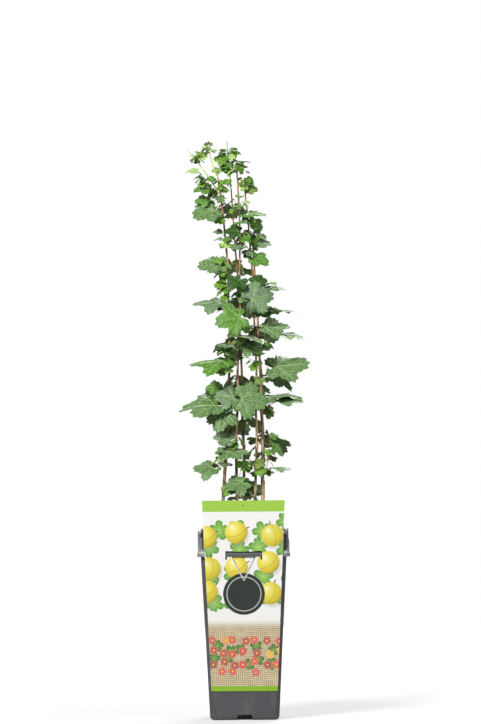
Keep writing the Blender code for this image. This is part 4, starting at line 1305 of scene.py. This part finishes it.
# The posts are painted paler than the body: painted light on the same plastic
posts_painted_lighter = (dust + grain.step(0.4, 0.7) * 0.3).blend(seen(104, 107, 108), seen(140, 142, 140))
near_corner = across.math("MINIMUM", abs(across), abs(deep))
at_corner = near_corner.step(30 * MM, 42 * MM)
plastic_dust_and_painted_light = (collar * at_corner).blend(body, posts_painted_lighter)
plastic_dust_and_painted_light = (ledge_highlight_band * at_corner * 0.75).blend(plastic_dust_and_painted_light, LEDGE_HIGHLIGHT)
relief = (grain * 0.5 + scuffs * 0.3).bump(0.22 * MM)
surface(pot_plastic, plastic_dust_and_painted_light, scuffs * 0.22 + grain * 0.08 + 0.36, relief)

# The inside's darker grey is painted shade: the same plastic, shown as if in shadow
pot_inside, at = finish("pot_inside", Specular_IOR_Level=0.3)
film = at.noise(60, 4, 0.6)
painted_shade_greys = film.step(0.35, 0.7).blend(seen(34, 34, 36), seen(62, 62, 62))
surface(pot_inside, painted_shade_greys, film * 0.2 + 0.5, film.bump(0.2 * MM))
pot_skin = make_piece(pot_bm, "pot_moulding", "pot_plastic", pot_plastic, pot_inside, sharp=math.radians(35))
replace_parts(pot_skin, "pot")
print("pot of", len(pot_skin.data.polygons), "faces")

# %% [markdown]
# ## Compost
# The fill is peaty compost: nearly black crumbs of many sizes with a few fibres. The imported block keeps
# its place and gets the colour, and crumbs in the mesh break up its flat top. Each crumb is a coarse ball
# pushed about by noise and sunk a little way in.

# %% Compost
SOIL_TOP, SOIL_HALF = 207 * MM, 48.5 * MM
CRUMB_COUNT, FIBRE_COUNT = 420, 46
CRUMB_RADII = (0.8 * MM, 2.6 * MM)
FIBRE_RADIUS, FIBRE_LENGTHS, FIBRE_BEND = 0.22 * MM, (6, 16), 0.15


def crumb(place, radius):
    bm = bmesh.new()
    bmesh.ops.create_icosphere(bm, subdivisions=2, radius=radius)
    for vert in bm.verts:
        rough = noise.noise((vert.co + place * 40) / radius * 0.9)
        vert.co = place + vert.co * (1 + 0.45 * rough)
        vert.co.z = place.z + (vert.co.z - place.z) * 0.7
    return bm


def fibre(place, turn, length):
    way = Vector((math.cos(turn), math.sin(turn), 0))
    side = Vector((-way.y, way.x, 0))
    knots = []
    for share in even(-0.5, 0.5, 4):
        knots.append(place + way * length * share + side * DICE.uniform(-FIBRE_BEND, FIBRE_BEND) * length)
    return rod(smooth_line(knots, 3), [FIBRE_RADIUS] * 10, 5)


compost, at = finish("compost", Specular_IOR_Level=0.25)
lumps = at.noise(330, 5, 0.65)
flecks = at.noise(900, 3, 0.6)
damp = lumps.step(0.35, 0.65).blend(seen(22, 17, 14), seen(58, 43, 32))
flecked = flecks.step(0.62, 0.76).blend(damp, seen(104, 80, 58))
surface(compost, flecked, lumps * 0.15 + 0.8, (lumps + flecks * 0.5).bump(1.6 * MM))


def dress(node, material):
    """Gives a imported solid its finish."""
    node.data.materials.clear()
    node.data.materials.append(material)


dress(nodes["compost"], compost)


def on_soil():
    return Vector((DICE.uniform(-SOIL_HALF, SOIL_HALF), DICE.uniform(-SOIL_HALF, SOIL_HALF), SOIL_TOP))


for number in range(CRUMB_COUNT):
    radius = CRUMB_RADII[0] + (CRUMB_RADII[1] - CRUMB_RADII[0]) * DICE.random() ** 2.5
    pour(crumb(on_soil() + UP * radius * 0.15, radius), "crumbs")
for number in range(FIBRE_COUNT):
    place, turn = on_soil() + UP * 0.5 * MM, DICE.uniform(0, math.tau)
    pour(fibre(place, turn, DICE.uniform(*FIBRE_LENGTHS) * MM), "crumbs")
make_piece(joined["crumbs"], "compost_crumbs", "compost", compost)
print(CRUMB_COUNT, "crumbs and", FIBRE_COUNT, "fibres")

# %% [markdown]
# ## The card's print
# The card is stiff plastic film with a glossy print. Its picture is a plain pattern of this lesson's own:
# yellow plums and lobed leaves scattered on white, a dark disc, and red blossoms on woven straw along the
# foot, with a green edge above and below. A Voronoi texture with little randomness deals out such a
# scatter: it gives each cell's middle and a chance of its own, and a motif is drawn round that middle,
# turned by the chance. A motif shows only where its whole cell is wanted, so none is cut in half.

# %% A scatter of motifs
CARD_TOP_BAND, CARD_FOOT_BAND = 251 * MM, 41 * MM
SOFT = 0.5 * MM
INK = 0.64


def ink(red, green, blue):
    """A printed colour: on film it's a little deeper than on a screen."""
    return shade_of(seen(red, green, blue), INK)


card_print, at = finish("card_print", Coat_Weight=0.35, Coat_Roughness=0.15, Specular_IOR_Level=0.5)
across, deep, height = at.axes()
flat = at.add("ShaderNodeCombineXYZ", {"X": across, "Y": height, "Z": 0.0})


def scatter(pitch, loose, shift, low, high):
    """Cells on the card: the place in a cell, its chance, and whether its middle is at a wanted height."""
    moved = flat.add("ShaderNodeVectorMath", {0: flat, 1: shift}, {"operation": "ADD"})
    inputs = {"Vector": moved, "Scale": 1 / pitch, "Randomness": loose}
    cells = moved.add("ShaderNodeTexVoronoi", inputs, {"voronoi_dimensions": "2D", "feature": "F1"})
    outputs = cells.socket.node.outputs
    middle = Wire(cells.tree, outputs["Position"])
    chance_of = Wire(cells.tree, outputs["Color"]).axes()[0]
    a, b = moved.add("ShaderNodeVectorMath", {0: moved, 1: middle}, {"operation": "SUBTRACT"}).axes()[:2]
    up = middle.axes()[1] - shift[1]
    return a, b, chance_of, up.step(low, low + 0.1 * MM) * up.step(high, high - 0.1 * MM)


def length_of(a, b):
    return (a * a + b * b) ** 0.5


def within(out, edge):
    """1 inside the edge, 0 outside it, with a soft line between."""
    return (edge - out).step(-SOFT / 2, SOFT / 2)


def rosette(cells, radius, deep, blunt):
    """Five round lobes in each cell: their mask, the way out from the middle, and the wave of the lobes."""
    a, b, chance_of, shown = cells
    out = length_of(a, b)
    wave = (a.math("ARCTAN2", b, a) + chance_of * math.tau) * 2.5
    lobes = abs(wave.math("COSINE")) ** blunt
    return within(out, (lobes * deep + (1 - deep)) * radius) * shown, out, wave


def lobed_leaf(under, cells, radius, colours):
    """Draws a leaf of five blunt lobes in each cell, with a pale vein in each lobe."""
    mask, out, wave = rosette(cells, radius, 0.5, 0.6)
    veins = abs(wave.math("SINE")) * out * 0.4
    tissue = (out / radius).ramp((0.15, colours[1]), (0.95, colours[0]))
    tissue = (veins.step(0.45 * MM, 0.15 * MM) * 0.55).blend(tissue, colours[2])
    return mask.blend(under, tissue)


# %% [markdown]
# The upper part: leaves first, then the plums over them. A plum is a disc with a bright side, a darker
# rim, a crease that bows to one side, a soft highlight and a short stalk, and it throws a pale shadow on
# the white.

# %% Plums and leaves
STRAW_TOP = 118 * MM
LEAF_PITCH, LEAF_RADIUS = 29 * MM, 12.5 * MM
PLUM_PITCH, PLUM_RADIUS = 37 * MM, 13.5 * MM
LEAF_INKS = (ink(84, 150, 62), ink(150, 200, 88), ink(206, 228, 150))
PLUM_INKS = (
    (0.0, ink(250, 244, 160)), (0.4, ink(236, 222, 84)), (0.78, ink(212, 192, 50)), (1.0, ink(164, 142, 34)),
)

cells = scatter(LEAF_PITCH, 0.45, (0.013, 0.006, 0.0), STRAW_TOP + 14 * MM, CARD_TOP_BAND)
picture = lobed_leaf(ink(242, 242, 240), cells, LEAF_RADIUS, LEAF_INKS)

low, high = STRAW_TOP + 8 * MM, CARD_TOP_BAND + 9 * MM
a, b, chance_of, shown = scatter(PLUM_PITCH, 0.3, (0.009, 0.004, 0.0), low, high)
shadow = length_of(a - 2 * MM, b + 3.5 * MM).step(1.16 * PLUM_RADIUS, 0.9 * PLUM_RADIUS)
picture = (shadow * shown * 0.3).blend(picture, ink(150, 150, 140))
lit = length_of(a + 4 * MM, b - 4.5 * MM) / (1.5 * PLUM_RADIUS)
plum = (chance_of * 0.4).blend(lit.ramp(*PLUM_INKS), ink(196, 196, 76))
angle = chance_of * 2.4 - 1.2
cos, sin = angle.math("COSINE"), angle.math("SINE")
p, q = a * cos + b * sin, b * cos - a * sin
crease = abs(p - (1 - (q / PLUM_RADIUS) ** 2.0) * 0.3 * PLUM_RADIUS)
plum = (crease.step(0.9 * MM, 0.2 * MM) * 0.4).blend(plum, ink(160, 124, 34))
plum = (length_of(a + 5 * MM, b - 6 * MM).step(3.4 * MM, 0.6 * MM) * 0.7).blend(plum, ink(255, 252, 226))
stalk = abs(p).step(0.8 * MM, 0.5 * MM) * q.step(PLUM_RADIUS + 4 * MM, PLUM_RADIUS + 3.6 * MM)
stalk = stalk * q.step(PLUM_RADIUS - 1.4 * MM, PLUM_RADIUS - 1 * MM) * shown
picture = stalk.blend(picture, ink(116, 84, 50))
picture = (within(length_of(a, b), PLUM_RADIUS) * shown).blend(picture, plum)
print("plums of", round(2 * PLUM_RADIUS / MM), "mm")

# %% [markdown]
# The lower part: straw in a basket weave. A checker says in which squares the strands lie across and in
# which they stand, and a sine gives each strand its round. On it lie small leaves and blossoms with five
# round petals, whose edge is a cosine of the angle.

# %% Blossoms on straw
STRAND, WEAVE = 2.4 * MM, 12 * MM
SPRAY_PITCH, SPRAY_RADIUS = 17 * MM, 7.5 * MM
BLOSSOM_PITCH, BLOSSOM_RADIUS = 13 * MM, 5.6 * MM
SCATTERED = (57 * MM, 100 * MM)
SPRAY_INKS = (ink(62, 106, 44), ink(112, 156, 72), ink(170, 196, 120))
PETAL_INKS = (
    (0.0, ink(206, 52, 50)), (0.3, ink(224, 96, 84)), (0.5, ink(132, 34, 52)), (0.7, ink(214, 66, 60)),
    (0.9, ink(228, 196, 70)),
)

weave = flat.add("ShaderNodeTexChecker", {"Vector": flat, "Scale": 1 / WEAVE}, out=1)
strands = [abs((along * (math.pi / STRAND)).math("SINE")) for along in (across, height)]
rounded = weave * strands[0] + (1 - weave) * strands[1]
tone = flat.noise(90, 4, 0.6) * 0.5 + rounded * 0.6
straw = tone.ramp((0.1, ink(108, 88, 58)), (0.45, ink(178, 158, 116)), (0.9, ink(222, 210, 178)))
cells = scatter(SPRAY_PITCH, 0.6, (0.004, 0.003, 0.0), *SCATTERED)
straw = lobed_leaf(straw, cells, SPRAY_RADIUS, SPRAY_INKS)

cells = scatter(BLOSSOM_PITCH, 0.55, (0.002, 0.0, 0.0), *SCATTERED)
mask, out, wave = rosette(cells, BLOSSOM_RADIUS, 0.42, 0.5)
petals = (out / BLOSSOM_RADIUS * 0.45).blend(cells[2].ramp(*PETAL_INKS), ink(244, 176, 160))
straw = mask.blend(straw, petals)
straw = (out.step(1.5 * MM, 1.1 * MM) * cells[3]).blend(straw, ink(238, 206, 92))
picture = height.step(STRAW_TOP + 4 * MM, STRAW_TOP - 8 * MM).blend(picture, straw)
print("blossoms of", round(2 * BLOSSOM_RADIUS / MM), "mm")

# %% [markdown]
# The rest of the print: the disc with its ring and the green edges. Pale lines along the two cuts of the
# tongue that hooks into the ledge are a painted highlight of the cut edges. The card's back is bare white
# film.

# %% The rest of the card
DISC_HEIGHT, DISC_RADIUS, DISC_RING = 152 * MM, 25 * MM, 20.5 * MM
NOTCH_HALF, NOTCH_DEEP = 14.5 * MM, 28 * MM

from_disc = length_of(across, height - DISC_HEIGHT)
ring = from_disc.step(DISC_RING - 0.8 * MM, DISC_RING - 0.3 * MM)
ring = ring * from_disc.step(DISC_RING + 0.8 * MM, DISC_RING)
disc = ring.blend(ink(44, 50, 46), ink(206, 212, 204))
picture = within(from_disc, DISC_RADIUS).blend(picture, disc)
picture = height.step(CARD_TOP_BAND - SOFT, CARD_TOP_BAND).blend(picture, ink(158, 204, 72))
picture = height.step(CARD_FOOT_BAND + SOFT, CARD_FOOT_BAND).blend(picture, ink(140, 186, 44))
cut_low = LEDGE_LOW - NOTCH_DEEP
slant = abs(across) - (height - cut_low) * (NOTCH_HALF / NOTCH_DEEP)
# A painted highlight along the tongue's two cut edges, in near white
cut_edge_highlight = abs(slant).step(1.0 * MM, 0.7 * MM)
cut_edge_highlight = cut_edge_highlight * height.step(cut_low - 1 * MM, cut_low) * height.step(LEDGE_LOW + SOFT, LEDGE_LOW)
picture = cut_edge_highlight.blend(picture, ink(236, 236, 234))
facing = at.add("ShaderNodeNewGeometry", {}, out="Normal").axes()[1]
film = at.noise(90, 2)
both_sides = facing.step(-0.4, -0.6).blend(ink(238, 238, 236), picture)
surface(card_print, both_sides, film * 0.12 + 0.26, film.bump(0.1 * MM))
dress(nodes["label_card"], card_print)
print("card printed")
